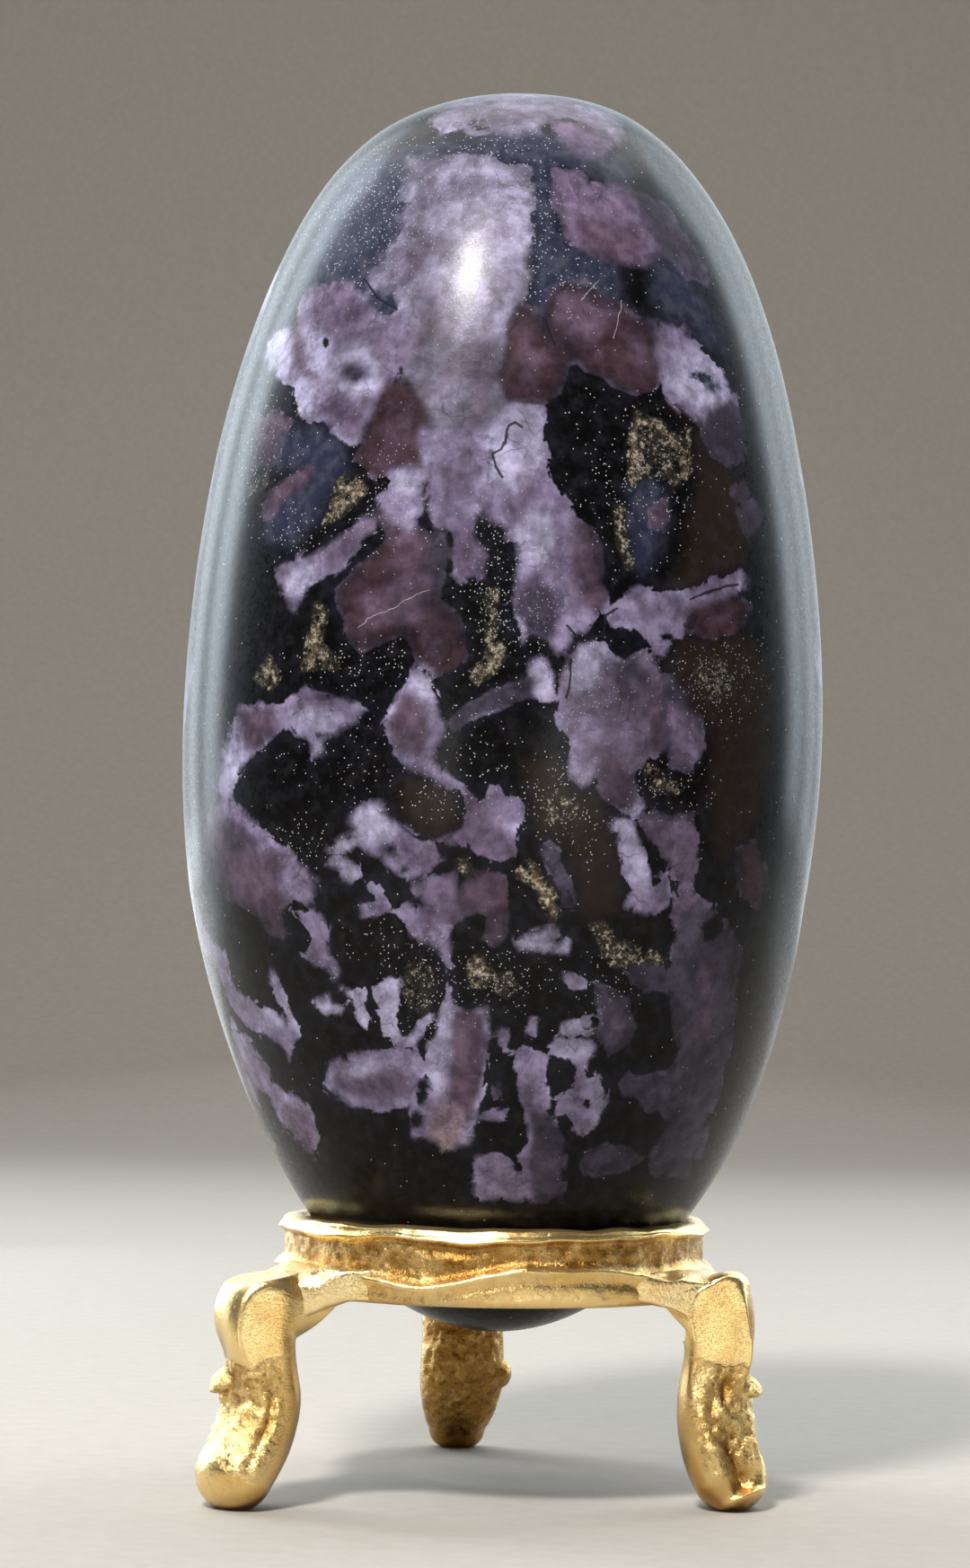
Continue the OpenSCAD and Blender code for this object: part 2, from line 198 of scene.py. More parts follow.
PATCHES = [
    # upper end
    ("slate", [(-9.5, 160), (-7, 162), (-2, 163), (4, 163.2), (9, 162), (13, 160), (12.5, 157.6),
        (7, 160.2), (4.4, 160.2), (3, 159), (0, 158.3), (-3, 158), (-6, 158.6), (-9, 158)]),
    ("mauve", [(4.4, 160), (7, 159.7), (10.5, 158.7), (11.7, 157.2), (10.6, 156), (8, 156.4),
        (5.4, 157.8)]),
    ("navy", [(-12, 156), (-8, 157.6), (-5, 157.4), (-2, 158.5), (0, 158.1), (3, 158.9), (4.5, 158),
        (7, 156.4), (10, 155.8), (12, 156.3), (14.6, 154), (14, 152.8), (12, 152.6), (10, 154),
        (6, 154.6), (4, 154.8), (0, 155), (-4, 155.6), (-7, 156), (-10, 155.2)]),
    ("navy", [(-19.4, 152.6), (-16, 155.2), (-12.6, 156), (-12, 152), (-12.8, 148), (-14.4, 145),
        (-16, 143), (-17.5, 141.6), (-20, 141), (-23.4, 142.4), (-22.6, 146), (-21, 149.6)]),
    ("slate", [(-12.2, 155.4), (-9.4, 155.2), (-5, 155.6), (0, 154.8), (2.5, 154), (2.6, 148), (2.4, 143),
        (1.8, 139), (0.2, 135), (-0.4, 132), (-1, 129.5), (0, 127), (2, 126), (4.5, 126.5), (4.6, 122),
        (-10, 122), (-11, 125), (-12, 128), (-13, 130), (-14, 136), (-15.4, 138.4), (-17, 141),
        (-15, 143.5), (-13.4, 146), (-12.4, 150)]),
    # painted highlight halo: these two pale patches round the key's highlight paint its glow into the
    # colour
    ("grey_and_painted_halo", [(-8.6, 153.4), (-3, 154.4), (1.4, 152), (1.8, 146), (0.8, 140), (-1.6, 135), (-5, 133.4),
        (-8, 136), (-9.6, 142), (-9.8, 148)]),
    ("grey_and_painted_halo", [(-7.6, 152), (-3.4, 153), (-0.4, 150), (0, 145), (-1.4, 140.6), (-4.4, 139.4), (-7, 142),
        (-8, 147)]),
    ("violet", [(-24.2, 139.3), (-21, 140.2), (-18, 140.2), (-15.8, 137), (-13.3, 135.8), (-11, 134),
        (-12, 131), (-13.2, 129.6), (-14.2, 128), (-15, 125.4), (-16.6, 123.2), (-18, 120.7),
        (-19.7, 121.3), (-21.6, 123.4), (-24, 123.7), (-25, 125), (-26, 127.4), (-27.4, 129.6),
        (-28.4, 132), (-27.7, 133.9), (-25.4, 135.6)]),
    ("plum", [(-26.4, 134.4), (-23, 136.2), (-21.8, 133), (-23.4, 130.2), (-25.6, 131.2)]),
    ("mauve", [(-23, 139.4), (-19.6, 139.6), (-17, 136.4), (-20, 134.4), (-23, 136)]),
    ("mauve", [(-21, 128.4), (-18.8, 126.4), (-17, 123.6), (-18.6, 121.8), (-21, 123.6), (-22, 126.4)]),
    ("navy", [(-24, 141), (-20, 142.3), (-17.5, 142), (-16.5, 140), (-14, 138.7), (-13, 137.2),
        (-15, 136.2), (-17, 138.2), (-18.5, 140), (-21, 140.4), (-23.6, 140)]),
    ("black", [(-28, 129.2), (-27, 128.4), (-25.5, 127.5), (-25.4, 125.2), (-26.4, 125.8), (-28.3, 125.8),
        (-30, 124), (-30.4, 118), (-29.5, 118), (-28.8, 123.6)]),
    ("plum", [(-29.6, 124.2), (-27.5, 125), (-25.4, 123.8), (-25.8, 120.5), (-28, 118), (-29.6, 118.6)]),
    ("brown", [(-14, 128.6), (-11.6, 128.2), (-10, 126), (-9, 123), (-8.4, 119.4), (-8.6, 117),
        (-12, 116.2), (-15.5, 117), (-17.8, 119.3), (-16.2, 123), (-15, 126)]),
    # upper right
    ("mauve", [(5, 154), (8, 154), (10, 152.5), (13, 152), (16, 150), (18.5, 147), (18, 144), (14.5, 143),
        (12, 143.2), (9, 144.4), (7, 145), (5.8, 147.5), (4.9, 150.5)]),
    ("plum", [(8, 147.6), (11, 147), (14.4, 147.4), (15.4, 145), (12, 143.6), (8.6, 145)]),
    ("dim", [(15, 151), (18, 149.6), (21.4, 145), (23, 141), (21, 141.6), (18.6, 144), (16.6, 148)]),
    ("navy", [(2, 156), (4.6, 155), (4.6, 151), (5.4, 147), (6.6, 144.6), (8, 144.3), (12.5, 143),
        (14, 141), (15, 138.5), (17, 136), (14, 136.5), (12.5, 138.5), (10, 140.2), (8, 141.2),
        (6, 140.6), (4.6, 138), (3.8, 136), (3, 137), (2.3, 138.5), (2.9, 142), (2.5, 146), (2.7, 150)]),
    ("black", [(13.5, 143), (17, 143.6), (18.4, 141), (17.4, 136.5), (15, 136.5), (13.4, 138.5),
        (12.6, 141)]),
    ("navy", [(17, 143.6), (19.5, 143.2), (22.2, 139.5), (24.2, 136), (25.4, 133), (23, 134), (21, 136.6),
        (18, 137), (17.2, 140)]),
    ("brown", [(4.4, 139.6), (7, 140.7), (9, 140.2), (11, 139), (13, 138), (14.5, 136.6), (17, 135.6),
        (18.6, 133.5), (18.2, 131.5), (18.2, 129.5), (17.5, 128), (15, 127.7), (12.5, 128.7), (11, 130),
        (9.5, 130), (8.4, 131.6), (6.6, 131), (5.4, 133.5), (4, 135), (4.1, 137.5)]),
    ("brown", [(1.4, 137.5), (3, 137), (4, 134.4), (6, 133.2), (6.6, 130), (6, 128), (4.5, 126.4),
        (2, 126), (0, 127), (-1, 129.5), (-0.3, 132), (0.2, 135)]),
    ("plum", [(6.2, 139.4), (9, 139.4), (12, 137.4), (10.6, 135), (7.6, 134.4), (5.4, 136.4)]),
    ("lavender", [(18, 135.6), (20.5, 135.6), (22.5, 133.6), (24.6, 131), (26.2, 128.5), (27.6, 125),
        (27.8, 121.5), (26.4, 118.6), (24.5, 120), (23, 122.5), (22, 125), (20, 126), (18, 127.5),
        (18.4, 131), (17.5, 133)]),
    ("dim", [(23.6, 126.6), (26, 127), (27.8, 123.6), (27.6, 120), (26, 118.6), (24.4, 120.4),
        (23, 123)]),
    ("umber", [(19, 126), (21.5, 124.6), (24, 120.6), (26, 119), (27.6, 117), (28.6, 114), (29, 111),
        (28, 108), (27, 107), (25, 106), (22, 104.5), (19, 104.3), (17, 106), (20, 112), (22, 118)]),
    ("black", [(8.5, 129), (10, 129.5), (12, 128.3), (15, 127.3), (18, 126.8), (20, 125.5), (21.5, 124.5),
        (22, 122.5), (22, 116), (21, 108), (19, 104.3), (16, 105), (14, 104.5), (12.5, 106), (12, 108),
        (11, 111.5), (9.5, 113.5), (8, 115.5), (6, 116.5), (5, 118), (4.5, 120), (4.5, 123.5), (5, 125.2),
        (7, 126), (8, 128)]),
    ("navy", [(14.5, 116.6), (17, 117), (18.6, 115.6), (18.8, 112), (17.6, 108.6), (16.2, 106.6),
        (15, 107.2), (14.4, 111)]),
    ("plum", [(17, 112), (18, 111.3), (19.2, 113), (18.8, 115), (17.6, 114.5), (16.8, 113.3)]),
    # middle left
    ("navy", [(-27.5, 122), (-22, 123), (-20, 121), (-18.8, 118.5), (-20, 116.5), (-21.5, 114),
        (-22, 112), (-23.5, 110.5), (-25, 108.8), (-28, 109.5), (-28.4, 112), (-27, 114), (-24, 116),
        (-24.5, 118.5), (-27, 118)]),
    ("plum", [(-28.6, 112.4), (-27, 112.8), (-24.4, 115.2), (-22.6, 117.6), (-23.4, 118.4),
        (-25.8, 116.6), (-28.4, 114.8)]),
    ("violet", [(-27.5, 105.5), (-26, 106.7), (-23.5, 107.6), (-21, 109), (-19, 110.6), (-17, 112.2),
        (-15.3, 112.2), (-15.4, 110.5), (-17, 109), (-19, 106.5), (-21, 105), (-22.5, 104), (-24, 102.5),
        (-24.8, 100.9), (-25.4, 102.5), (-26.5, 104)]),
    ("mauve", [(-21, 108), (-18.4, 109.8), (-16, 111.4), (-16, 110.2), (-18.4, 108), (-20.6, 106.2)]),
    ("plum", [(-15.2, 113.4), (-13.2, 115.2), (-11, 111.6), (-9.5, 111.2), (-8.8, 108), (-8.5, 105),
        (-10, 102), (-14, 104), (-15.6, 107.4), (-14.2, 110)]),
    ("brown", [(-14.6, 109), (-11, 108), (-8.5, 105), (-8.5, 102.5), (-6, 101.5), (-5, 100), (-4.5, 97),
        (-5.5, 94.5), (-8, 93.7), (-10, 95), (-10.5, 97.2), (-12, 98.5), (-14.5, 97.5), (-17, 96.8),
        (-18.1, 98), (-19.1, 101), (-19.6, 103.5), (-18, 105.3), (-15.8, 107.5)]),
    ("plum", [(-12, 105), (-8.6, 106), (-8, 102), (-11, 100), (-15, 100.4), (-17, 102.6)]),
    ("lavender", [(-13.5, 117.5), (-11, 118.2), (-9.8, 117.4), (-9.6, 113), (-11.5, 111.4), (-14, 113),
        (-15.2, 114.5), (-13.8, 115.7)]),
    ("lavender", [(-9.8, 122.4), (-2, 122.4), (-2.2, 118), (-1.5, 115), (-2, 113.3), (-3.5, 112.8),
        (-4, 110.5), (-2.6, 108), (-3, 105.5), (-5, 104.8), (-6, 105.8), (-6.5, 108.5), (-6.3, 110.8),
        (-8.5, 111.3), (-9.6, 113.5), (-9.4, 117.4)]),
    ("mauve", [(-6, 111.6), (-4, 112), (-3, 109), (-3.2, 106), (-5, 105.2), (-6, 108)]),
    ("black", [(-8.6, 110), (-7.6, 110.7), (-6.9, 109), (-6.9, 106.6), (-7.8, 105.2), (-8.6, 106.4)]),
    ("black", [(-3.6, 113), (-2.5, 113.6), (-1.4, 111.5), (-0.2, 110), (0.8, 108.5), (1, 106.5),
        (0.5, 104), (1, 101), (1.8, 98), (1, 95.5), (-0.5, 93), (-3, 92.5), (-4.5, 93.5), (-4, 97),
        (-4.7, 100.5), (-6.5, 102.5), (-4, 104), (-2, 106), (-1.4, 109), (-2.8, 111.3)]),
    # middle
    ("lavender", [(-2, 123), (4.6, 122.4), (4.8, 118.5), (5.5, 117), (7, 115), (8.5, 113), (10, 111.5),
        (11, 109), (11.6, 106), (12.4, 103), (12, 101.6), (11, 101.4), (9.5, 99.4), (8, 99), (7.5, 97),
        (6.4, 97), (5, 99), (3, 100), (2, 98), (1.5, 101), (1, 104), (1.5, 107), (1, 109), (0, 111),
        (-1.5, 112.5), (-2, 114)]),
    ("grey_and_painted_halo", [(-2, 124.2), (1, 125.6), (4.2, 125), (4.4, 121.6), (3, 117.6), (0.6, 116), (-1.4, 117.4)]),
    ("plum", [(8.6, 112.4), (10, 111.6), (11.2, 108), (12.2, 103), (11, 101.6), (9.4, 102.6), (8, 107)]),
    ("dim", [(2, 104.6), (3.6, 105.8), (5.4, 104), (6.2, 100.6), (5.4, 98.6), (3, 99.8), (1.8, 101.4)]),
    ("lavender", [(14.3, 103.5), (16, 104.6), (19, 104.3), (22, 104.6), (25, 105.9), (27.9, 107.1),
        (28, 105.5), (27.5, 103.5), (26, 102), (22.5, 101.4), (21, 100), (20.5, 98), (18.5, 96.8),
        (17.5, 96.8), (16.5, 98.5), (15, 99.6), (12.5, 99.8), (11.8, 100.5), (12, 102), (13, 103)]),
    ("brown", [(21.6, 102), (24, 102.6), (26.8, 103.6), (28.6, 102.6), (27.6, 99.6), (24, 98.4),
        (21.4, 99.6)]),
    ("black", [(12.2, 99.6), (15, 99.4), (16.5, 98), (17.5, 96), (16, 97), (14.5, 96), (14, 94.8),
        (13.2, 96.5), (12, 98)]),
    ("violet", [(8.5, 98), (10, 98), (11.5, 98.2), (13, 96.5), (14, 95.5), (15, 96.5), (16.5, 97.3),
        (18, 96), (18.5, 94), (19.5, 92), (20.5, 90), (22, 89), (23.6, 87.5), (23.9, 85.5), (22.5, 83.6),
        (20.5, 84.5), (19.5, 86), (17, 84), (15.5, 82.5), (16.5, 78.5), (15, 77.8), (13.5, 78.5),
        (12, 80), (11, 82.5), (9.5, 81), (8.2, 81.8), (7.5, 84), (8, 86), (6.8, 87.5), (6, 89.5),
        (6.5, 92), (7, 94.5)]),
    ("lavender", [(8, 86.4), (10, 88.8), (13.6, 89.4), (15.4, 87), (13.4, 84.6), (10.4, 85.4),
        (8.2, 83.4)]),
    ("lilac", [(9.4, 97), (11, 96), (10.6, 92.4), (9, 92.4), (8.4, 95)]),
    ("dim", [(13, 95), (15.6, 95.6), (17.4, 92.6), (16.6, 89.4), (14.4, 90.6)]),
    ("plum", [(17.8, 93), (19.4, 91.8), (19.6, 88), (18.8, 85.6), (17.8, 85.6), (17.4, 89)]),
    ("dim", [(18.6, 94.4), (20.4, 94.6), (22.6, 92), (23.6, 88), (23.4, 84.5), (21.6, 82.6), (19.6, 83.6),
        (19, 88)]),
    ("mauve", [(19.6, 90.6), (21.8, 89), (23.4, 86), (22.4, 84), (20.6, 85), (19.8, 87.6)]),
    ("plum", [(12, 84.4), (14, 84), (15.4, 80.4), (15, 78.4), (13, 79.4), (11.8, 82)]),
    ("lavender", [(1.8, 93), (3, 95.5), (4.5, 96.1), (5.6, 94), (6.1, 91), (4.5, 90.8), (3, 91.2),
        (0, 92)]),
    ("lilac", [(3, 94.6), (4.6, 95.6), (5.4, 93.4), (5, 91.6), (3.4, 91.8)]),
    ("dim", [(-6.2, 88), (-4, 90.1), (-1.5, 91.6), (1, 92.8), (3, 93.4), (3, 91.4), (-1, 90.2),
        (-3.5, 88.9), (-5.6, 87.4)]),
    ("umber", [(20, 99), (24, 98.6), (28, 99.4), (31, 95), (31.5, 86), (30, 78), (26, 73), (24.4, 78),
        (24.6, 88), (21, 91.4), (19.4, 95)]),
    # lower left
    ("lavender", [(-31, 89.6), (-26.5, 90.2), (-24.5, 91), (-23, 92), (-20, 91.2), (-18, 90.4),
        (-15.5, 89.9), (-17.5, 88.2), (-19.5, 87), (-21, 86.8), (-22.5, 86.2), (-24, 86.5), (-25.5, 88),
        (-27, 86), (-28.5, 84.5), (-30, 83), (-31, 81), (-31.5, 78.5), (-32.8, 78.5), (-33.5, 81),
        (-33, 83.5), (-31.8, 85.5), (-31.3, 87.5)]),
    ("plum", [(-30.4, 88.8), (-27.4, 89.2), (-26.8, 86.8), (-28.6, 85), (-30, 86)]),
    ("mauve", [(-24, 90.4), (-22, 91.4), (-19.4, 90.4), (-18.4, 89), (-21, 88), (-24, 88.6)]),
    ("lavender", [(-23.1, 86.4), (-21, 86.6), (-20.9, 84.4), (-22.3, 83.4)]),
    ("lavender", [(-10.6, 95.4), (-9, 94.1), (-8, 91.5), (-7.6, 89), (-6.7, 87.8), (-7.5, 86), (-8.5, 85),
        (-8, 83.5), (-6, 82), (-4.4, 81), (-4.2, 80.2), (-6.5, 80.7), (-9, 82.4), (-11, 83.2),
        (-12.5, 84.5), (-13.6, 87), (-14.4, 88), (-13, 90), (-11.5, 92.5)]),
    ("plum", [(-11, 91.4), (-9.4, 90.6), (-9, 87.4), (-9.8, 84.6), (-12, 85.6), (-13, 88)]),
    ("plum", [(-34.6, 76), (-33.6, 72.5), (-33, 70), (-32, 67.5), (-30, 66.7), (-28, 65.5), (-26.5, 63.5),
        (-25, 62.2), (-24.7, 63.5), (-25.2, 65.5), (-24, 66.9), (-22.5, 66.4), (-21.7, 67.8), (-22, 70),
        (-23, 71.5), (-25, 73), (-27.5, 75), (-29.5, 77), (-31.5, 78.6), (-33, 79)]),
    ("lavender", [(-32.6, 78), (-30, 76.4), (-27, 74.6), (-25.4, 73), (-28.4, 73.4), (-31, 75.4)]),
    ("lavender", [(-24, 72), (-22.4, 70), (-22.2, 67.6), (-24, 67.4), (-25.6, 68.6), (-25, 71)]),
    ("dim", [(-32, 76), (-30, 75.2), (-28.2, 74), (-29, 72.8), (-31.6, 73.6)]),
    ("lavender", [(-24, 65.9), (-22.5, 66.1), (-21, 65.4), (-19.9, 64), (-20.2, 62), (-19.4, 60.5),
        (-18.6, 59.2), (-19.2, 58.1), (-20.5, 59.4), (-22.5, 60.5), (-23.4, 60.8), (-22.5, 61.6),
        (-21.9, 63), (-23, 64.5)]),
    ("lavender", [(-18, 77), (-16.3, 79), (-14.2, 78.7), (-13.2, 76.9), (-10.5, 75.4), (-7.5, 74.3),
        (-6.8, 72.5), (-8.2, 70.7), (-10.8, 69.6), (-12, 70.2), (-14.2, 72.1), (-16.8, 73.8), (-18.3, 75),
        (-17.4, 76)]),
    ("lilac", [(-17, 77.2), (-15.4, 78.4), (-13.8, 77), (-12.6, 75), (-14.6, 74.2), (-16.6, 75)]),
    ("mauve", [(-11.4, 74.6), (-8.4, 73.8), (-7.6, 72.4), (-9.4, 71.4), (-11.4, 72.4)]),
    ("lilac", [(-18.4, 74.6), (-16.8, 74), (-18.4, 72.5), (-16.2, 71.6), (-15.9, 70.3), (-17.3, 69.3),
        (-18.8, 70.7), (-20.6, 71.2), (-19.9, 72.5), (-20.1, 73.4), (-19, 74.1)]),
    ("lavender", [(-16, 69.6), (-14.7, 69.8), (-13.4, 68), (-12.2, 66.6), (-10.8, 66.9), (-9.5, 65.9),
        (-8.2, 66.4), (-7.4, 64), (-9, 62.9), (-10.5, 63.1), (-11.5, 64.7), (-12.8, 65.9), (-14.5, 65.6),
        (-15.8, 65.4), (-15.9, 66.6), (-14.3, 67.3), (-15.3, 68.3)]),
    ("mauve", [(-10.1, 68.5), (-8.5, 69.4), (-6.5, 70.6), (-5.4, 70.9), (-4.9, 68.5), (-4.4, 66),
        (-6, 64), (-7.5, 62.4), (-8.9, 63.5), (-8.4, 66.3), (-9.1, 67)]),
    ("mauve", [(-4.3, 80.6), (-3.8, 78), (-5, 75.8), (-7.1, 74.5), (-6, 73.7), (-4, 73.9), (-2.5, 72.7),
        (-0.5, 72.1), (1.6, 73), (2.1, 75.5), (2.6, 78), (2.1, 79.6), (0.3, 79.6), (-0.3, 80.9),
        (-1.3, 81.2), (-2.1, 79.9), (-3, 79.3)]),
    ("lavender", [(-1.4, 81), (0, 79.6), (1.8, 79.4), (2.2, 77), (1.4, 75.4), (-0.6, 77), (-2, 79)]),
    ("black", [(-6.1, 72.5), (-4.5, 73.4), (-2.5, 72.3), (-1.9, 70.8), (-3.5, 69.7), (-5.6, 70.7)]),
    ("plum", [(-3, 71), (0, 71.3), (0.8, 69), (0.6, 65.5), (0.4, 63.5), (-0.5, 62.4), (-1.6, 63),
        (-1.1, 66), (-2.2, 66.6), (-4, 66.2), (-5, 67.5), (-4.5, 69.3)]),
    ("lavender", [(-7.4, 63.6), (-5.7, 64.1), (-5.7, 61), (-6.2, 58.8), (-6.9, 61)]),
    ("umber", [(-11.4, 81.6), (-8, 80.8), (-5.4, 79.8), (-5, 77), (-7, 75.2), (-9.6, 76.2), (-11.6, 78)]),
    # lower end, left
    ("lilac", [(-26.3, 58.7), (-25.2, 57.6), (-24.2, 55.5), (-23.2, 53), (-22.9, 51), (-23.8, 50.7),
        (-24.6, 53), (-25.5, 55.4), (-26.4, 57.3)]),
    ("lavender", [(-29, 55.9), (-27, 54.4), (-25.3, 53.6), (-24, 52), (-23.5, 50), (-24, 48.6),
        (-24.9, 50), (-26.5, 51), (-28.5, 51.9), (-29.6, 53.4), (-30.6, 54.4)]),
    ("lavender", [(-34, 62.6), (-32, 60.6), (-31, 57.5), (-30, 55.9), (-29, 56.1), (-28, 54.7),
        (-29.3, 52.9), (-31, 54.4), (-32.4, 57), (-33.6, 60)]),
    ("lavender", [(-31.6, 54), (-29, 50.6), (-27, 48.1), (-25.5, 45.6), (-23, 44), (-21.5, 42.6),
        (-20.4, 39.5), (-20.9, 37.8), (-22.5, 38.7), (-24.6, 41), (-26, 43.4), (-27, 44.7), (-28.6, 46),
        (-30, 49), (-31.6, 52)]),
    ("mauve", [(-24.6, 43.4), (-22.6, 43), (-21.2, 41), (-21.4, 38.8), (-23, 39.8), (-24.6, 41.8)]),
    ("lilac", [(-21.6, 55.5), (-20.1, 55.3), (-19.8, 56.2), (-19.2, 55.1), (-17.9, 54.8), (-18.4, 54.1),
        (-20, 54.2)]),
    ("lilac", [(-18.2, 57), (-16.5, 57.5), (-15.2, 56.9), (-15.7, 55.5), (-14.9, 53), (-15.3, 52.1),
        (-16.3, 53.2), (-17.1, 55.5)]),
    ("lilac", [(-14.7, 57.8), (-13, 58.5), (-11.7, 58.3), (-11.5, 56), (-11.9, 53.5), (-11.1, 51.9),
        (-9.9, 50.4), (-11.5, 50.8), (-13.1, 51.9), (-13.8, 54.5), (-14.5, 56.5)]),
    ("lilac", [(-10.5, 50.8), (-9.4, 53.1), (-7.7, 54.5), (-7.7, 53.7), (-8.8, 52), (-9.7, 50.4)]),
    ("lavender", [(-20.1, 45.5), (-19.6, 48.4), (-17, 49.2), (-14, 50.2), (-11, 50.7), (-9.4, 50),
        (-8.2, 48.5), (-8, 46), (-8.5, 44), (-11, 43.2), (-14, 42.9), (-17, 43.7), (-18.6, 44.4)]),
    ("mauve", [(-18.6, 47.6), (-15, 48.2), (-11, 47), (-10, 44.8), (-14, 44.6), (-18, 45.6)]),
    ("lavender", [(-6, 58), (-5.3, 57), (-5, 55.6), (-3, 54.7), (-1.4, 55), (-1.2, 52), (-0.9, 49),
        (-1.4, 46.5), (-2.2, 44), (-2.4, 41), (-3.4, 39.2), (-6, 39.3), (-8, 39.8), (-9.9, 39.9),
        (-10.1, 43), (-8.3, 45.5), (-8.1, 49), (-7.4, 52.5), (-6.6, 55.5)]),
    ("plum", [(-4.8, 54.6), (-2, 54), (-1.6, 50), (-2.2, 46), (-3.4, 42), (-5.2, 45), (-5, 50)]),
    ("lilac", [(-7, 53), (-6.2, 55.6), (-5.8, 53), (-6, 49), (-7, 45.4), (-7.8, 47)]),
    ("black", [(-1.3, 47.5), (0, 49.4), (1.4, 49.1), (1.9, 46.5), (1.6, 43.9), (0, 43.4), (-1.1, 45)]),
    ("black", [(-2.4, 41.6), (0, 41.1), (1.8, 41.9), (3.4, 41), (3.6, 38.5), (2.5, 36.2), (1.5, 37.5),
        (0, 38), (-2, 38.2), (-1.5, 40)]),
    ("lavender", [(-1.9, 42.4), (0, 43.4), (1.9, 43.8), (1.2, 42.3), (0, 42.2)]),
    ("lavender", [(-2.3, 37.6), (0, 38.3), (1.8, 37.6), (2.5, 36), (4, 36.6), (4.6, 33), (-2.6, 33)]),
    # lower end, right
    ("lavender", [(11.9, 76.8), (12.5, 77.8), (14.3, 77.6), (15.5, 77.3), (16, 75.5), (17, 73), (18, 71),
        (18.2, 69.8), (19, 70.5), (19.5, 72.3), (19.8, 70), (20, 68.5), (19.5, 66.9), (18, 66.4),
        (15.5, 66.9), (14.4, 67.4), (15.2, 69), (14.2, 71), (14, 73.5), (13.4, 75.5)]),
    ("mauve", [(16.1, 77), (18, 78.4), (20, 77.6), (22.5, 78.1), (23.1, 76), (23.1, 73), (22.6, 70),
        (23, 68.5), (25.1, 67.5), (24, 66.4), (23.1, 65), (23.6, 63), (22, 60.9), (20.4, 59.8),
        (19.9, 62), (20.9, 64), (19.9, 66), (20.2, 68.5), (21, 70), (19.8, 72.6), (18.8, 72.9),
        (17.5, 75)]),
    ("mauve", [(18.4, 76.6), (20.4, 76.8), (20.6, 74.4), (19.2, 73.6)]),
    ("lilac", [(14.4, 76.6), (15.6, 75.4), (16.8, 72), (17, 69.4), (15.6, 70), (14.8, 73)]),
    ("black", [(16, 76.8), (17.5, 74), (18.7, 72), (18.9, 70.7), (18, 69.8), (17.4, 71.5), (16.9, 73.5)]),
    ("umber", [(2.8, 84), (6.6, 84.6), (8, 80.6), (11.4, 79.6), (13.6, 75.4), (14, 70), (13.6, 66.6),
        (9.6, 66), (8.8, 70), (7.6, 74.6), (5, 75), (3.6, 78)]),
    ("dim", [(4.9, 74), (6.3, 74.5), (7.1, 73), (7.4, 70.5), (8.4, 68.5), (8.4, 66.9), (7.4, 66.9),
        (6.4, 69.5), (5.7, 71.5), (4.9, 73)]),
    ("lilac", [(1.9, 63), (4, 64.2), (6, 64.8), (7.1, 63.4), (8.2, 63.1), (7.9, 61.7), (6, 61.6),
        (4, 61.8), (2.9, 62)]),
    ("lavender", [(7.7, 59.4), (9.8, 59.2), (10.6, 57.8), (9, 57.3), (7.9, 57.9)]),
    ("dim", [(11.3, 58), (13.5, 57.2), (15, 56), (15.7, 53.5), (15.2, 51.4), (13.3, 50.1), (12.1, 51.5),
        (11.6, 53.5), (11.3, 55.5)]),
    ("lilac", [(7.4, 53), (9, 53.7), (11.1, 54.4), (11.1, 53), (9, 51.9), (7.4, 52.1)]),
    ("lavender", [(5.4, 50.8), (7, 51.7), (9, 51.7), (11, 51.5), (12.1, 50.5), (10.6, 49.5), (10.3, 48),
        (10.8, 47.1), (12.3, 47.4), (12.9, 45.5), (12.6, 43.5), (11.6, 41.4), (10, 40.3), (8.7, 40.9),
        (8.1, 42.7), (7, 42.9), (6.9, 44.5), (8.5, 45.8), (9.3, 46.6), (9, 48.5), (8, 49.3),
        (6.4, 49.8)]),
    ("lilac", [(6.4, 50.8), (8, 51.2), (10.4, 50.8), (10, 49.6), (8, 49.8)]),
    ("lavender", [(1.9, 48.5), (3, 50.5), (5, 50.4), (6.1, 49.5), (6.1, 47), (5.9, 45), (6.1, 43),
        (7, 42.4), (7.6, 40), (8.1, 37), (7.9, 33), (4, 33), (3, 36), (2.6, 38), (3.9, 39.5), (4.1, 41.5),
        (3.2, 42), (2.8, 44), (2.2, 46)]),
    ("dim", [(4.6, 43), (6.4, 42.6), (7.6, 40), (8.1, 37), (7.9, 33), (5, 33), (4.2, 37), (4.8, 40)]),
    ("black", [(6.2, 49.1), (8.3, 49.3), (9, 47.2), (8, 46.2), (6.4, 46.4)]),
    ("lavender", [(2.9, 52.1), (4, 54.2), (5, 54), (4.9, 51.4)]),
    ("lavender", [(-0.1, 51), (0.5, 52.7), (1.6, 52.1), (1.2, 50.4), (2.6, 49.9), (1.8, 49.4),
        (0.5, 49.9)]),
    ("dim", [(14.6, 60), (17, 60.6), (19.4, 60), (22, 62), (23.4, 59), (21.6, 56.6), (18.6, 57.4),
        (16, 58.2)]),
    ("dim", [(14.4, 46.5), (15.2, 47.9), (16.5, 47.3), (18.5, 47.4), (20, 47.6), (21, 48.9), (22.8, 49.2),
        (23.9, 48), (24.1, 46), (23, 44), (21.5, 42.4), (20, 42.7), (19, 44), (18, 43.4), (17, 43.9),
        (16.5, 45), (14.9, 45.2)]),
    ("dim", [(9.9, 37), (11, 38.6), (13, 39.5), (15.5, 39), (16.7, 38), (15.6, 36.9), (12.5, 36.4),
        (10.4, 36.2)]),
    # smoky tone with a painted bluish-grey reflection sheen on the lower right
    ("smoky_tone_and_painted_sheen", [(21, 66), (23.6, 67), (26.4, 64), (27.6, 58), (27, 50), (24.6, 42), (22.4, 36), (20.6, 36),
        (20.6, 42), (21, 50), (20.2, 56.5)]),
